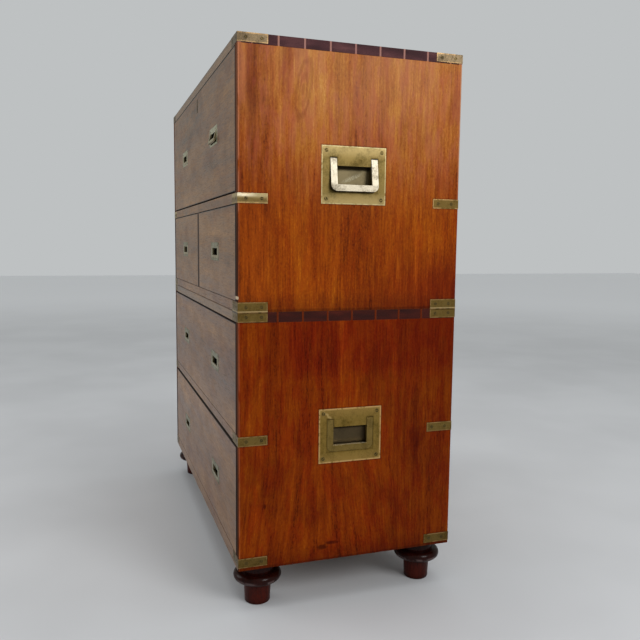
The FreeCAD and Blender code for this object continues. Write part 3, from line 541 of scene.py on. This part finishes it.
def front_grime_and_shade(w):
    """Dark lines of grime and painted shade along the edges of the drawer fronts, painted shadow in the
    gaps over them, and a dark line where the sections meet.
    """
    nearest, faint = 1.0, 0.0
    for name in nodes:
        if name.endswith("_drawer_front"):
            middle, half = middle_and_half(*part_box(name))
            across = w.beyond(w.x, middle.x, half.x)
            nearest = w.least(nearest, w.most(across, w.beyond(w.z, middle.z, half.z)))
            if name != "top_drawer_front":
                at_foot = w.under(w.off(w.z, middle.z - half.z), 0.003, 0.004)
                faint = w.most(faint, w.times(at_foot, w.under(across, -0.004, -0.002)))
    # grime and painted shade in the gaps round the drawer fronts, fainter at their feet
    line = w.band(nearest, -0.0026, -0.0008, 0.0010, 0.0026)
    w.darken(line, w.rising(faint, 1.0, 0.25), (0.14, 0.09, 0.07, 1))

    # painted shadow, nearly black, in the gaps over the bottom and middle drawers
    fade = 0.0008
    on_front = w.under(w.facing[1], -0.9, -0.6)
    for name, (wood_above, spread) in HEAD_SHADOWS.items():
        foot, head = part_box(name)[1].z - spread, wood_above + spread
        line = w.times(w.band(w.z, foot - fade, foot, head, head + fade), on_front)
        w.lay(line, 0.95, srgb(16, 7, 3))
        w.dull(line, 0.95, 0.95)
    line = w.times(w.under(w.off(w.z, HEAD["lower"]), 0.0006, 0.0018), on_front)
    w.lay(line, 0.60, srgb(46, 25, 10))
    w.dull(line, 0.60, 0.85)


def front_wood(name, seed, dusty_shaded_top=False):
    """The drawer fronts and rails: quieter, browner wood with smoky patches under an old polish."""
    w = Wood(name, "X", FRONT_TONES, seed=seed, streak=0.22)
    w.darken(w.patches(18, 6, 4.0, 0.40, 0.72, detail=5, roughness=0.6), 0.55, srgb(186, 138, 118))
    w.dull(w.patches(22, 12, 7.0, 0.45, 0.65, detail=3), 0.25, 0.52)
    front_grime_and_shade(w)
    if dusty_shaded_top:
        # the upper edge is laid dark brown: dust, and painted shade from the gap under the wood above
        upper_edge = w.over(w.facing[2], 0.3, 0.8)
        w.lay(upper_edge, 0.80, srgb(48, 29, 17))
        w.dull(upper_edge, 0.85, 0.85)
    return w.done({"Coat Weight": 0.06, "Coat Roughness": 0.28})


def divider_wood():
    """The upright between the small drawers, whose front edge is painted dark as the shade between the
    drawers.
    """
    w = Wood("divider_wood", "Z", FRONT_TONES, seed=5.9)
    front_face = w.under(w.facing[1], -0.75, -0.45)
    # painted shade: the front edge is laid near-black brown
    w.lay(front_face, 0.9, srgb(42, 24, 16))
    w.dull(front_face, 0.9, 0.8)
    return w.done()


def bare_wood(name, along, seed):
    """Unpolished wood inside the chest."""
    w = Wood(name, along, LINING_TONES, seed=seed)
    w.roughness = 0.72
    return w.done({"IOR": BARE_IOR})


def back_wood(section):
    """Three unpolished boards, each with grain of its own and a dark joint to the next."""
    low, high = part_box(section + "_back_boards")
    width = (high.z - low.z) / BACK_BOARDS

    def other_board(w):
        board = w.math("FLOOR", w.times(w.less(w.z, low.z), 1 / width))
        w.shift(x=w.times(board, 0.73), z=w.times(board, 0.29))

    w = Wood(section + "_back_wood", "X", BACK_TONES[section], seed=2.9, bend=other_board)
    for number in range(1, BACK_BOARDS):
        joint = w.under(w.off(w.z, low.z + width * number), 0.0005, 0.0018)
        w.darken(joint, 0.85, (0.16, 0.13, 0.12, 1))
    w.lay(w.patches(8, 2, 6.0, 0.42, 0.66, detail=5), 0.18, srgb(150, 130, 108))
    w.roughness = 0.75
    return w.done({"IOR": BARE_IOR})


def foot_wood():
    """Nearly black polish on the flange that has worn through to red-brown on the column."""
    tones = (srgb(32, 7, 2), srgb(53, 12, 4), srgb(66, 17, 7), srgb(86, 29, 14))
    w = Wood("foot_wood", "Z", tones, seed=2.2)
    w.darken(w.over(w.z, 0.036, 0.046), 0.85, (0.20, 0.30, 0.50, 1))
    w.darken(w.under(w.z, 0.002, 0.012), 0.6, (0.35, 0.30, 0.30, 1))

    # a band round the flange, painted paler in patches: rubbed polish, and a painted highlight
    rubbed = w.band(w.z, 0.0495, 0.0525, 0.0545, 0.0575)
    w.lay(w.times(rubbed, w.blotches(55, 0.46, 0.60)), 0.30, srgb(132, 112, 110))
    return w.done({"Coat Weight": 0.17, "Coat Roughness": 0.10, "Specular IOR Level": 0.05})


# ----------------------------------------
# Metals
# ----------------------------------------

# how much light old dirt lets through; the same factor darkens painted shade too
DIRT_AND_SHADE = (0.22, 0.19, 0.15, 1)


# metals that look the same wherever they are: clean, patina, how much of it there is, roughness
PLAIN_METALS = {
    "pull_bail_brass": (srgb(168, 158, 126), srgb(118, 110, 80), 0.40, 0.34),
    "escutcheon_brass": (srgb(84, 70, 46), srgb(48, 38, 26), 0.60, 0.42),
    "lock_brass": (srgb(150, 128, 72), srgb(112, 92, 50), 0.40, 0.38),
    "bolt_steel": (srgb(176, 174, 168), srgb(120, 112, 104), 0.40, 0.32),
    "screw_brass": (srgb(92, 78, 44), srgb(58, 50, 30), 0.60, 0.42),
}


class Metal(Graph):
    """Old metal: clean, with clouds of patina, blotches of tarnish and dark pits."""

    def __init__(self, name, clean, patina, patina_share, roughness):
        super().__init__(name)
        cloud = self.noise(self.place, scale=38, detail=5, roughness=0.62)
        fine = self.noise(self.place, scale=310, detail=4, roughness=0.6)
        mixed = self.add(self.times(cloud, 0.65), self.times(fine, 0.35))
        aged = self.over(mixed, 0.58 - 0.30 * patina_share, 0.80 - 0.20 * patina_share)
        self.colour = self.mix(aged, clean, patina)
        tarnish = self.blotches(74, 0.46, 0.66, detail=5, roughness=0.6)
        self.darken(tarnish, 0.45, srgb(232, 222, 208))
        pits = self.blotches(900, 0.66, 0.74, detail=2)
        self.darken(pits, 0.5, (0.40, 0.36, 0.30, 1))
        self.roughness = self.add(self.times(aged, 0.22), self.times(fine, 0.12), roughness - 0.06)
        self.height = self.less(self.times(fine, 0.6), self.times(pits, 0.7))

    def done(self):
        return self.finish(self.colour, self.roughness, self.height, {"Metallic": 1.0})


def plain_metal(name):
    return Metal(name, *PLAIN_METALS[name]).done()


# for each handle plate: its colours clean, with patina and rubbed; its rim's painted highlight and that
# rim's width; its pan's painted reflection; and the strength of dirt and painted shade in the pan
PLATE_LOOKS = {
    "lower": {
        "clean": srgb(140, 114, 56),
        "patina": srgb(102, 84, 38),
        "rubbed": srgb(166, 134, 74),
        "rim": srgb(214, 172, 112),
        "rim_width": 0.0044,
        "pan": srgb(104, 92, 74),
        "pan_dirt_and_shade": 0.56,
    },
    "upper": {
        "clean": srgb(130, 110, 64),
        "patina": srgb(100, 86, 46),
        "rubbed": srgb(182, 160, 110),
        "rim": srgb(190, 174, 128),
        "rim_width": 0.0030,
        "pan": srgb(136, 124, 96),
        "pan_dirt_and_shade": 0.30,
    },
}


def channel_lines(g, side, up):
    """Old polish along the channel of the bail and along the tongue between its arms."""
    fade = 0.001
    past_ends = g.most(g.less(up, CHANNEL_TOP), g.less(-CHANNEL_FOOT, up))
    channel = g.under(g.off(g.most(g.less(side, CHANNEL_HALF), past_ends)), 0.0006, 0.0034)
    above_pan = g.over(up, PAN_TOP, PAN_TOP + fade)
    root = g.times(g.under(side, TONGUE_HALF - fade, TONGUE_HALF), above_pan)
    channel = g.times(channel, g.less(1.0, root))
    tongue = g.under(g.off(side, TONGUE_HALF), 0.0006, 0.0026)
    tongue = g.times(tongue, g.band(up, PAN_TOP, PAN_TOP + fade, CHANNEL_TOP, CHANNEL_TOP + fade))
    g.darken(g.most(channel, tongue), 0.42, DIRT_AND_SHADE)


def plate_brass(section):
    """A handle plate: rubbed bright at its top and bottom, with a painted highlight at its rim, dirty round
    the bail, and a painted reflection, dirt and painted shade in its pan.
    """
    looks = PLATE_LOOKS[section]
    g = Metal(section + "_plate_brass", looks["clean"], looks["patina"], 0.55, 0.38)
    middle, half = middle_and_half(*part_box(section + "_right_handle_plate"))
    side, up = g.off(g.y), g.less(g.z, middle.z)
    off_middle = g.off(up)
    g.lay(g.over(off_middle, half.z - 0.026, half.z - 0.004), 0.55, looks["rubbed"])
    channel_lines(g, side, up)

    # the rim, painted bright as a highlight, and dark dents near the screws
    past_side, past_end = g.less(side, half.y), g.less(off_middle, half.z)
    rim = g.over(g.most(past_side, past_end), -looks["rim_width"], -0.0012)
    g.lay(g.times(rim, g.blotches(120, 0.30, 0.50)), 0.85, looks["rim"])
    corner = g.band(g.least(past_side, past_end), -0.020, -0.010, -0.008, -0.003)
    g.darken(g.times(corner, g.blotches(70, 0.46, 0.62)), 0.35, DIRT_AND_SHADE)

    # the pan behind the bail: painted grey as the reflection it shows, darker where deeper with dirt and
    # painted shade, and darkest under its upper lip with a painted shadow
    depth = g.less(STRAP_FACE, g.off(g.x))
    pan = g.over(depth, 0.0075, 0.0100)
    g.lay(pan, 0.85, looks["pan"])
    g.darken(g.over(depth, 0.0008, 0.0060), looks["pan_dirt_and_shade"], DIRT_AND_SHADE)
    g.darken(g.times(pan, g.over(up, PAN_TOP - 0.009, PAN_TOP - 0.004)), 0.9, (0.10, 0.09, 0.08, 1))

    # a scratched streak that climbs across the upper pan, and a scuff beside one end of the lower bail
    if section == "upper":
        slope, start = 0.43, 0.004
        climb = g.add(up, g.times(g.y, -slope), start)
        scratched = g.times(pan, g.spot(g.y, climb, 0.020, 0.0045), g.blotches(900, 0.35, 0.65, detail=4))
        g.lay(scratched, 0.40, srgb(196, 190, 164))
    else:
        scuff_y, scuff_up = -0.048, 0.042
        from_y, from_up = g.add(g.y, -scuff_y), g.add(up, -scuff_up)
        off_line = g.add(from_y, from_up, g.wander(g.noise(g.place, scale=210), 0.012))
        g.lay(g.spot(off_line, g.less(from_y, from_up), 0.0032, 0.017), 0.55, srgb(206, 176, 116))
    return g.done()


def aged_bail():
    """A bail that lies in its plate: dull, but for the upper side of its bar."""
    g = Metal("aged_bail_brass", srgb(132, 110, 60), srgb(102, 84, 44), 0.55, 0.36)
    bar_height = 0.0125
    bar_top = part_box("lower_right_handle")[0].z + bar_height
    upper_side = g.times(g.over(g.facing[2], 0.3, 0.8), g.under(g.z, bar_top + 0.002, bar_top + 0.006))
    g.lay(upper_side, 0.9, srgb(236, 226, 196))
    return g.done()


def worn_highlit_bail():
    """The bail that hands have kept bright and that is painted paler as a highlight, but for its bar and
    its underside, painted darker as shade and dirt.
    """
    g = Metal("worn_highlit_bail_brass", srgb(168, 160, 142), srgb(152, 142, 122), 0.30, 0.44)
    bar_height = 0.011
    bar_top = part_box("upper_right_handle")[0].z + bar_height
    # painted shade: the bar is darker than the arms
    g.darken(g.under(g.z, bar_top, bar_top + 0.006), 0.34, (0.30, 0.28, 0.26, 1))
    # painted shade and dirt on the faces under the bar
    g.darken(g.under(g.facing[2], -0.8, -0.4), 0.85, DIRT_AND_SHADE)
    return g.done()


def worn_highlit_rim(g, sideways, at_rail):
    """The edges of the straps' side legs, painted paler in patches as wear and a painted highlight, most of
    all at the upper rail.
    """
    deep = -1.0
    along = g.add(g.off(g.y), STRAP_SIDE - HALF_DEPTH)
    for section in SECTIONS:
        for level, half_strap in STRAP_LEVELS[section]:
            deep = g.most(deep, g.least(along, g.less(half_strap, g.off(g.z, level))))
    rim = g.times(g.under(deep, 0.0006, 0.0030), g.blotches(75, 0.36, 0.54), sideways)
    g.lay(rim, g.rising(at_rail, 0.34, 0.68), srgb(206, 164, 110))


def strap_brass():
    """Straps: greyer at the top, dull at the bottom, with rims painted pale as wear and highlight, painted
    highlights on those at the upper rail and the joint, and a painted shadow in the joint.
    """
    g = Metal("strap_brass", srgb(122, 100, 54), srgb(94, 74, 36), 0.55, 0.36)
    g.lay(g.over(g.z, 0.95, 1.0), 0.85, srgb(96, 83, 66))
    g.darken(g.under(g.z, 0.12, 0.16), 0.25, DIRT_AND_SHADE)

    # the upper section's lowest straps have a painted highlight on their lower edge, over a painted shadow
    # in the joint of the sections
    joint, blur = HEAD["lower"], 0.0004
    bright = g.band(g.z, joint - blur, joint + blur, joint + 0.0016, joint + 0.0030)
    g.lay(bright, 0.60, srgb(196, 176, 130))
    dark = g.band(g.z, joint - 0.0036, joint - 0.0018, joint - blur, joint + blur)
    g.darken(dark, 1.0, (0.30, 0.26, 0.22, 1))

    # the front straps at the upper rail have a painted highlight along their upper half and their lower
    # edge
    level, half_strap = STRAP_LEVELS["upper"][1]
    up = g.add(g.z, -level)
    at_rail = g.under(g.off(up), 0.02, 0.03)
    front_rail = g.times(at_rail, g.under(g.y, 0.0, 0.1))
    g.lay(front_rail, g.rising(g.over(up, -0.0015, 0.0060), 0.10, 0.85), srgb(186, 168, 124))
    lower_edge = g.under(up, 0.0022 - half_strap, 0.0042 - half_strap)
    g.lay(g.times(front_rail, lower_edge), 0.35, srgb(186, 158, 108))

    # they gleam on their side legs, next to the corner
    sideways = g.over(g.off(g.facing[0]), 0.5, 0.8)
    by_corner = g.under(g.y, 0.006 - HALF_DEPTH, 0.046 - HALF_DEPTH)
    g.lay(g.times(g.over(up, 0.0015, 0.0055), by_corner, front_rail, sideways), 0.92, srgb(255, 242, 210))
    worn_highlit_rim(g, sideways, at_rail)
    return g.done()


def pull_plate_brass():
    """A pull's plate, duller below the upper rail, with a recess painted nearly black as old polish and
    shade.
    """
    g = Metal("pull_plate_brass", srgb(176, 176, 154), srgb(138, 138, 114), 0.50, 0.42)
    rail_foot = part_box("upper_rail")[0].z
    g.darken(g.under(g.z, rail_foot - 0.01, rail_foot), 1.0, (0.68, 0.66, 0.64, 1))
    depth = g.add(g.y, HALF_DEPTH + BRASS_PROUD)
    # painted shade and old polish: the recess is laid nearly black
    g.darken(g.over(depth, 0.0006, 0.0030), 0.96, (0.05, 0.045, 0.04, 1))
    return g.done()


# ----------------------------------------
# Finishes of the CAD nodes
# ----------------------------------------


def finishes():
    """What each node is made of: pairs of the end of its name and a material."""
    return [
        ("upper_right_handle", worn_highlit_bail()),
        ("_handle", aged_bail()),
        ("lower_right_handle_plate", plate_brass("lower")),
        ("upper_right_handle_plate", plate_brass("upper")),
        ("_pull_plates", pull_plate_brass()),
        ("_pull", plain_metal("pull_bail_brass")),
        ("_straps", strap_brass()),
        ("key_escutcheon", plain_metal("escutcheon_brass")),
        ("lock_case", plain_metal("lock_brass")),
        ("lock_bolt", plain_metal("bolt_steel")),
        ("upper_right_side", upper_side_wood()),
        ("lower_right_side", lower_side_wood()),
        ("_top_board", top_board_wood()),
        ("_rail", front_wood("rail_wood", 4.4)),
        ("upper_drawer_divider", divider_wood()),
        ("_bottom_board", front_wood("bottom_board_wood", 7.7)),
        ("_drawer_front", front_wood("drawer_front_wood", 9.7, dusty_shaded_top=True)),
        ("_drawer_box", bare_wood("drawer_lining_wood", "Y", 1.3)),
        ("_drawer_bottom", bare_wood("drawer_bottom_wood", "X", 8.8)),
        ("lower_back_boards", back_wood("lower")),
        ("upper_back_boards", back_wood("upper")),
        ("_runners_and_stops", bare_wood("runner_wood", "Y", 3.6)),
        ("locating_pegs", bare_wood("peg_wood", "Z", 4.1)),
    ]


def dress_nodes():
    """Give every CAD node its material; left sides and plates are finished as the right ones are."""
    known = finishes()
    for name, node in nodes.items():
        finished_as = name.replace("_left_side", "_right_side")
        finished_as = finished_as.replace("_left_handle_plate", "_right_handle_plate")
        matches = [material for ending, material in known if finished_as.endswith(ending)]
        if matches:
            for slot in node.material_slots:
                slot.material = matches[0]


def soften(name, width, segments=2, draw_back=0.0):
    """Break a CAD node's sharp edges by a small rounding; draw_back thins it along its normals."""

    def modify(kind, **settings):
        with_settings(nodes[name].modifiers.new(kind.lower(), kind), **settings)

    modify("WELD", merge_threshold=SAME_PLACE)
    modify("DECIMATE", decimate_type="DISSOLVE", angle_limit=math.radians(1))
    if draw_back:
        modify("DISPLACE", mid_level=0, strength=-draw_back)
    sharp = {"limit_method": "ANGLE", "angle_limit": math.radians(35)}
    modify("BEVEL", width=width, segments=segments, harden_normals=True, **sharp)


def soften_nodes():
    for name in nodes:
        if name.endswith("_handle"):
            soften(name, width=0.0013, segments=3)
        elif name.endswith("_pull"):
            soften(name, width=0.0007, segments=3)
        elif name.endswith(("_plate", "_plates", "_straps")):
            soften(name, width=0.0003, draw_back=DRAW_BACK)
        elif name.endswith(("_front", "_board", "_side", "_rail", "_divider")):
            soften(name, width=0.0005)


# ----------------------------------------
# Pieces made here: screws and turned feet
# ----------------------------------------

# to the right or left, and to the back or front, or up or down
CORNERS = ((1, 1), (1, -1), (-1, 1), (-1, -1))

# the radii of the screws' heads, and how far the plates' screws are from the plate's edges
STRAP_SCREW = 0.0029
HANDLE_SCREW, HANDLE_INSET = 0.0036, 0.0095
PULL_SCREW, PULL_INSET = 0.0021, 0.0036

# how far a strap's screws are from the corner, in its side, front and top legs
SIDE_PLACES, FRONT_PLACES, TOP_PLACE = (0.016, 0.046), (0.014, 0.039), 0.036

FOOT_INSET = 0.050
FOOT_SEGMENTS = 72


def linked(name, data):
    """An object with this data, linked into the scene."""
    made = bpy.data.objects.new(name, data)
    bpy.context.scene.collection.objects.link(made)
    return made


def add_object(name, shape, *materials):
    """An object from a bmesh, which is freed."""
    mesh = bpy.data.meshes.new(name)
    shape.to_mesh(mesh)
    shape.free()
    for material in materials:
        mesh.materials.append(material)
    return linked(name, mesh)


def new_piece(name, shape, body, slot, *materials):
    piece = add_object(name, shape, *materials)
    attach(piece, body)
    return piece


def full_turn(steps):
    """Angles all the way round, in equal steps."""
    return [2 * math.pi * i / steps for i in range(steps)]


def add_screw(shape, at, out, radius, turn):
    """A flush slotted head on the face at a point, with a dark line round it as painted shade in the gap;
    out is the face's normal.
    """
    rise, line_drop, steps = -0.00001, 0.00002, 10
    bevel, slot_depth, half_slot, gap = 0.00035, 0.0005, radius * 0.13, 0.00035
    place = Matrix.Translation(at) @ out.to_track_quat("Z", "Y").to_matrix().to_4x4()
    place = place @ Matrix.Rotation(turn, 4, "Z")

    def point(x, y, height):
        return shape.verts.new(place @ Vector((x, y, height)))

    def ring(reach, angles, height):
        return [point(reach * math.cos(a), reach * math.sin(a), height) for a in angles]

    # the two halves of the head, to either side of the slot
    for side in (1, -1):
        rings = []
        for reach, height in ((radius, -slot_depth), (radius, rise - bevel * 0.5), (radius - bevel, rise)):
            start = math.asin(half_slot / reach)
            angles = [start + (math.pi - 2 * start) * i / steps for i in range(steps + 1)]
            rings.append(ring(reach * side, angles, height))
        for low, high in zip(rings, rings[1:]):
            for i in range(steps):
                shape.faces.new((low[i], low[i + 1], high[i + 1], high[i]))
            shape.faces.new((low[-1], low[0], high[0], high[-1]))
        shape.faces.new(rings[-1])

    # the slot's floor and the line round the head, in the second material, dark as grime and painted shade
    half_long, half_wide = radius * 0.97, half_slot * 1.2
    corners = [(x * half_long, y * half_wide) for x, y in ((-1, -1), (1, -1), (1, 1), (-1, 1))]
    shape.faces.new([point(x, y, -slot_depth * 0.6) for x, y in corners]).material_index = 1
    around = full_turn(2 * steps)
    inner, outer = (ring(reach, around, rise - line_drop) for reach in (radius, radius + gap))
    for i in range(2 * steps):
        after = (i + 1) % (2 * steps)
        shape.faces.new((inner[i], outer[i], outer[after], inner[after])).material_index = 1


def screws(name, body, spots, materials):
    """One piece for the screws of one fitting; spots are a place, a normal and a head's radius."""
    turns = random.Random(name)
    shape = bmesh.new()
    for at, out, radius in spots:
        add_screw(shape, at, out, radius, turns.uniform(0, math.pi))
    return new_piece(name, shape, body, "plate_brass", *materials)


def strap_spots(section):
    """Two screws in each leg of each strap, and one in each top leg of the capped corners."""
    spots = []
    for x, y in CORNERS:
        for level, _ in STRAP_LEVELS[section]:
            for along in SIDE_PLACES:
                at = Vector((STRAP_FACE * x, (HALF_DEPTH - along) * y, level))
                spots.append((at, Vector((x, 0, 0)), STRAP_SCREW))
            for along in FRONT_PLACES:
                at = Vector(((HALF_WIDTH - along) * x, (HALF_DEPTH + BRASS_PROUD) * y, level))
                spots.append((at, Vector((0, y, 0)), STRAP_SCREW))
        if section == "upper":
            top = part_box("upper_straps")[1].z
            for across, along in ((TOP_PLACE, STRAP_HEIGHT / 2), (STRAP_HEIGHT / 2, TOP_PLACE)):
                at = Vector(((HALF_WIDTH - across) * x, (HALF_DEPTH - along) * y, top))
                spots.append((at, Vector((0, 0, 1)), STRAP_SCREW))
    return spots


def plate_spots(low, high, out, inset, radius):
    """A screw in each corner of a plate whose face looks along out."""
    spots = []
    side = Vector((-out.y, out.x, 0))
    middle, half = middle_and_half(low, high)
    face = middle + Vector((out.x * half.x, out.y * half.y, 0))
    half_across = abs(half.dot(side))
    for across, up in CORNERS:
        offset = side * (across * (half_across - inset)) + Vector((0, 0, up * (half.z - inset)))
        spots.append((face + offset, out, radius))
    return spots


def solid_boxes(node):
    """The lowest and highest corners of each separate solid of a node, from left to right."""
    shape = bmesh.new()
    shape.from_mesh(node.data)
    bmesh.ops.remove_doubles(shape, verts=shape.verts, dist=SAME_PLACE)
    left = set(shape.verts)
    boxes = []
    while left:
        found, to_visit = set(), [left.pop()]
        while to_visit:
            vertex = to_visit.pop()
            found.add(vertex)
            for edge in vertex.link_edges:
                other = edge.other_vert(vertex)
                if other in left:
                    left.discard(other)
                    to_visit.append(other)
        places = [vertex.co for vertex in found]
        low = Vector([min(place[axis] for place in places) for axis in range(3)])
        high = Vector([max(place[axis] for place in places) for axis in range(3)])
        boxes.append((low, high))
    shape.free()
    return sorted(boxes, key=lambda corners: corners[0].x)


def all_screws():
    head = plain_metal("screw_brass")
    line = Graph("screw_grime_and_shade")
    # the slot's floor and the ring round each head are painted dark: grime, and painted shade in the gap
    grime = line.ramp(line.noise(line.place, scale=600), [(0.3, srgb(16, 13, 9)), (0.7, srgb(40, 33, 22))])
    materials = (head, line.finish(grime, 0.8))
    for section in SECTIONS:
        body = section + "_section"
        screws(section + "_strap_screws", body, strap_spots(section), materials)
        for hand, way in (("right", 1), ("left", -1)):
            name = f"{section}_{hand}_handle_plate"
            spots = plate_spots(*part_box(name), Vector((way, 0, 0)), HANDLE_INSET, HANDLE_SCREW)
            screws(name + "_screws", body, spots, materials)
    for body in frame["bodies"]:
        if body.endswith("_drawer"):
            spots = []
            for low, high in solid_boxes(nodes[body + "_pull_plates"]):
                spots += plate_spots(low, high, Vector((0, -1, 0)), PULL_INSET, PULL_SCREW)
            screws(body + "_plate_screws", body, spots, materials)


def arc(centre, radius, start, end, steps):
    """Points of radius and height on an arc, with angles in degrees."""
    angles = [math.radians(start + (end - start) * i / steps) for i in range(steps + 1)]
    return [(centre[0] + radius * math.cos(a), centre[1] + radius * math.sin(a)) for a in angles]


def foot_profile(height):
    """Radii and heights of a foot: a tapered column, a cove, a half-round flange and a collar."""
    toe, toe_round, waist, neck = 0.0260, 0.0025, 0.0266, 0.0275
    waist_height, neck_height = 0.018, 0.034
    cove, cove_reach, cove_height = 0.0108, 0.0110, 0.0355
    flange, rim, flange_middle, collar = 0.0490, 0.0100, 0.0565, 0.0340
    profile = [(0.0, 0.0)]
    profile += arc((toe - toe_round, toe_round), toe_round, -90, -4, 4)
    profile += [(waist, waist_height), (neck, neck_height)]
    profile += arc((neck + cove_reach, cove_height), cove, 178, 98, 6)
    profile += arc((flange - rim, flange_middle), rim, -84, 84, 16)
    profile += [(collar, flange_middle + rim), (collar, height), (0.0, height)]
    return profile


def lathe(shape, profile, at):
    """Turn a profile about the upright through a place; its first and last points are on the axis."""
    rings = []
    for radius, z in profile:
        turns = full_turn(FOOT_SEGMENTS) if radius else [0.0]
        places = [Vector((radius * math.cos(t), radius * math.sin(t), z)) for t in turns]
        rings.append([shape.verts.new(at + place) for place in places])
    for below, above in zip(rings, rings[1:]):
        for i in range(FOOT_SEGMENTS):
            after = (i + 1) % FOOT_SEGMENTS
            if len(below) == 1:
                shape.faces.new((below[0], above[after], above[i]))
            elif len(above) == 1:
                shape.faces.new((below[i], below[after], above[0]))
            else:
                shape.faces.new((below[i], below[after], above[after], above[i]))


def turned_feet():
    profile = foot_profile(BASE["lower"])
    shape = bmesh.new()
    for x, y in CORNERS:
        lathe(shape, profile, Vector(((HALF_WIDTH - FOOT_INSET) * x, (HALF_DEPTH - FOOT_INSET) * y, 0)))
    bmesh.ops.recalc_face_normals(shape, faces=shape.faces)
    for face in shape.faces:
        face.smooth = True
    for edge in shape.edges:
        edge.smooth = edge.calc_face_angle(0.0) < math.radians(40)
    piece = new_piece("polished_feet", shape, "lower_section", "foot_wood", foot_wood())
    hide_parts("turned_feet")


# ----------------------------------------
# Floor, light and camera
# ----------------------------------------


def floor():
    """A plain pale floor, paler far away from the chest."""
    reach, near_end, far = 14.0, 2.5, 8.0
    g = Graph("floor_paint")
    clouds = g.noise(g.place, scale=1.4, detail=3)
    near = g.ramp(clouds, [(0.35, srgb(198, 199, 201)), (0.65, srgb(206, 207, 209))])
    colour = g.mix(g.over(g.distance(g.x, g.y), near_end, far), near, srgb(240, 241, 243))
    shape = bmesh.new()
    bmesh.ops.create_grid(shape, x_segments=4, y_segments=4, size=reach)
    ground = add_object("floor", shape, g.finish(colour, 0.6, plain={"Specular IOR Level": 0.2}))


def world():
    """A pale room, which is dimmer in reflections than it looks."""
    surroundings = bpy.data.worlds.new("pale_room")
    bpy.context.scene.world = surroundings
    surroundings.use_nodes = True
    tree = surroundings.node_tree
    background = tree.nodes["Background"]
    path = tree.nodes.new("ShaderNodeLightPath")
    tone = tree.nodes.new("ShaderNodeMix")
    tone.data_type = "RGBA"
    tone.inputs[6].default_value = srgb(190, 193, 194)
    tone.inputs[7].default_value = srgb(170, 170, 164)
    tree.links.new(path.outputs["Is Glossy Ray"], tone.inputs[0])
    tree.links.new(tone.outputs[2], background.inputs["Color"])


def soft_light(name, at, aim, size, power):
    lamp = linked(name, bpy.data.lights.new(name, "AREA"))
    with_settings(lamp.data, shape="DISK", size=size, energy=power)
    lamp.location = at
    lamp.rotation_euler = (Vector(aim) - Vector(at)).to_track_quat("-Z", "Y").to_euler()


def lights():
    soft_light("window", at=(3.1, 1.20, 2.30), aim=(0.40, 0.0, 0.66), size=1.6, power=50)
    soft_light("front_fill", at=(-1.3, -3.2, 1.7), aim=(0.0, -0.2, 0.6), size=2.2, power=26)
    soft_light("ceiling", at=(0.2, 0.1, 3.4), aim=(0.0, 0.0, 0.5), size=2.6, power=26)


def camera():
    """A camera at the height of a low chair, a little forward of the right side."""
    image, focal, sensor = 640, 698.784, 36.0
    place = (1.756399, -0.500541, 0.728048)
    forward = Vector((-0.9419751, 0.31765907, -0.10851555))
    up = Vector((-0.10610976, 0.02492066, 0.99404209))
    eye = linked("camera", bpy.data.cameras.new("camera"))
    with_settings(eye.data, sensor_width=sensor, lens=focal / image * sensor)
    right = forward.cross(up).normalized()
    turn = Matrix((right, right.cross(forward), -forward)).transposed()
    eye.matrix_world = Matrix.Translation(place) @ turn.to_4x4()
    bpy.context.scene.camera = eye


dress_nodes()
soften_nodes()
all_screws()
turned_feet()
floor()
world()
lights()
camera()
bpy.context.scene.view_settings.view_transform = "Standard"
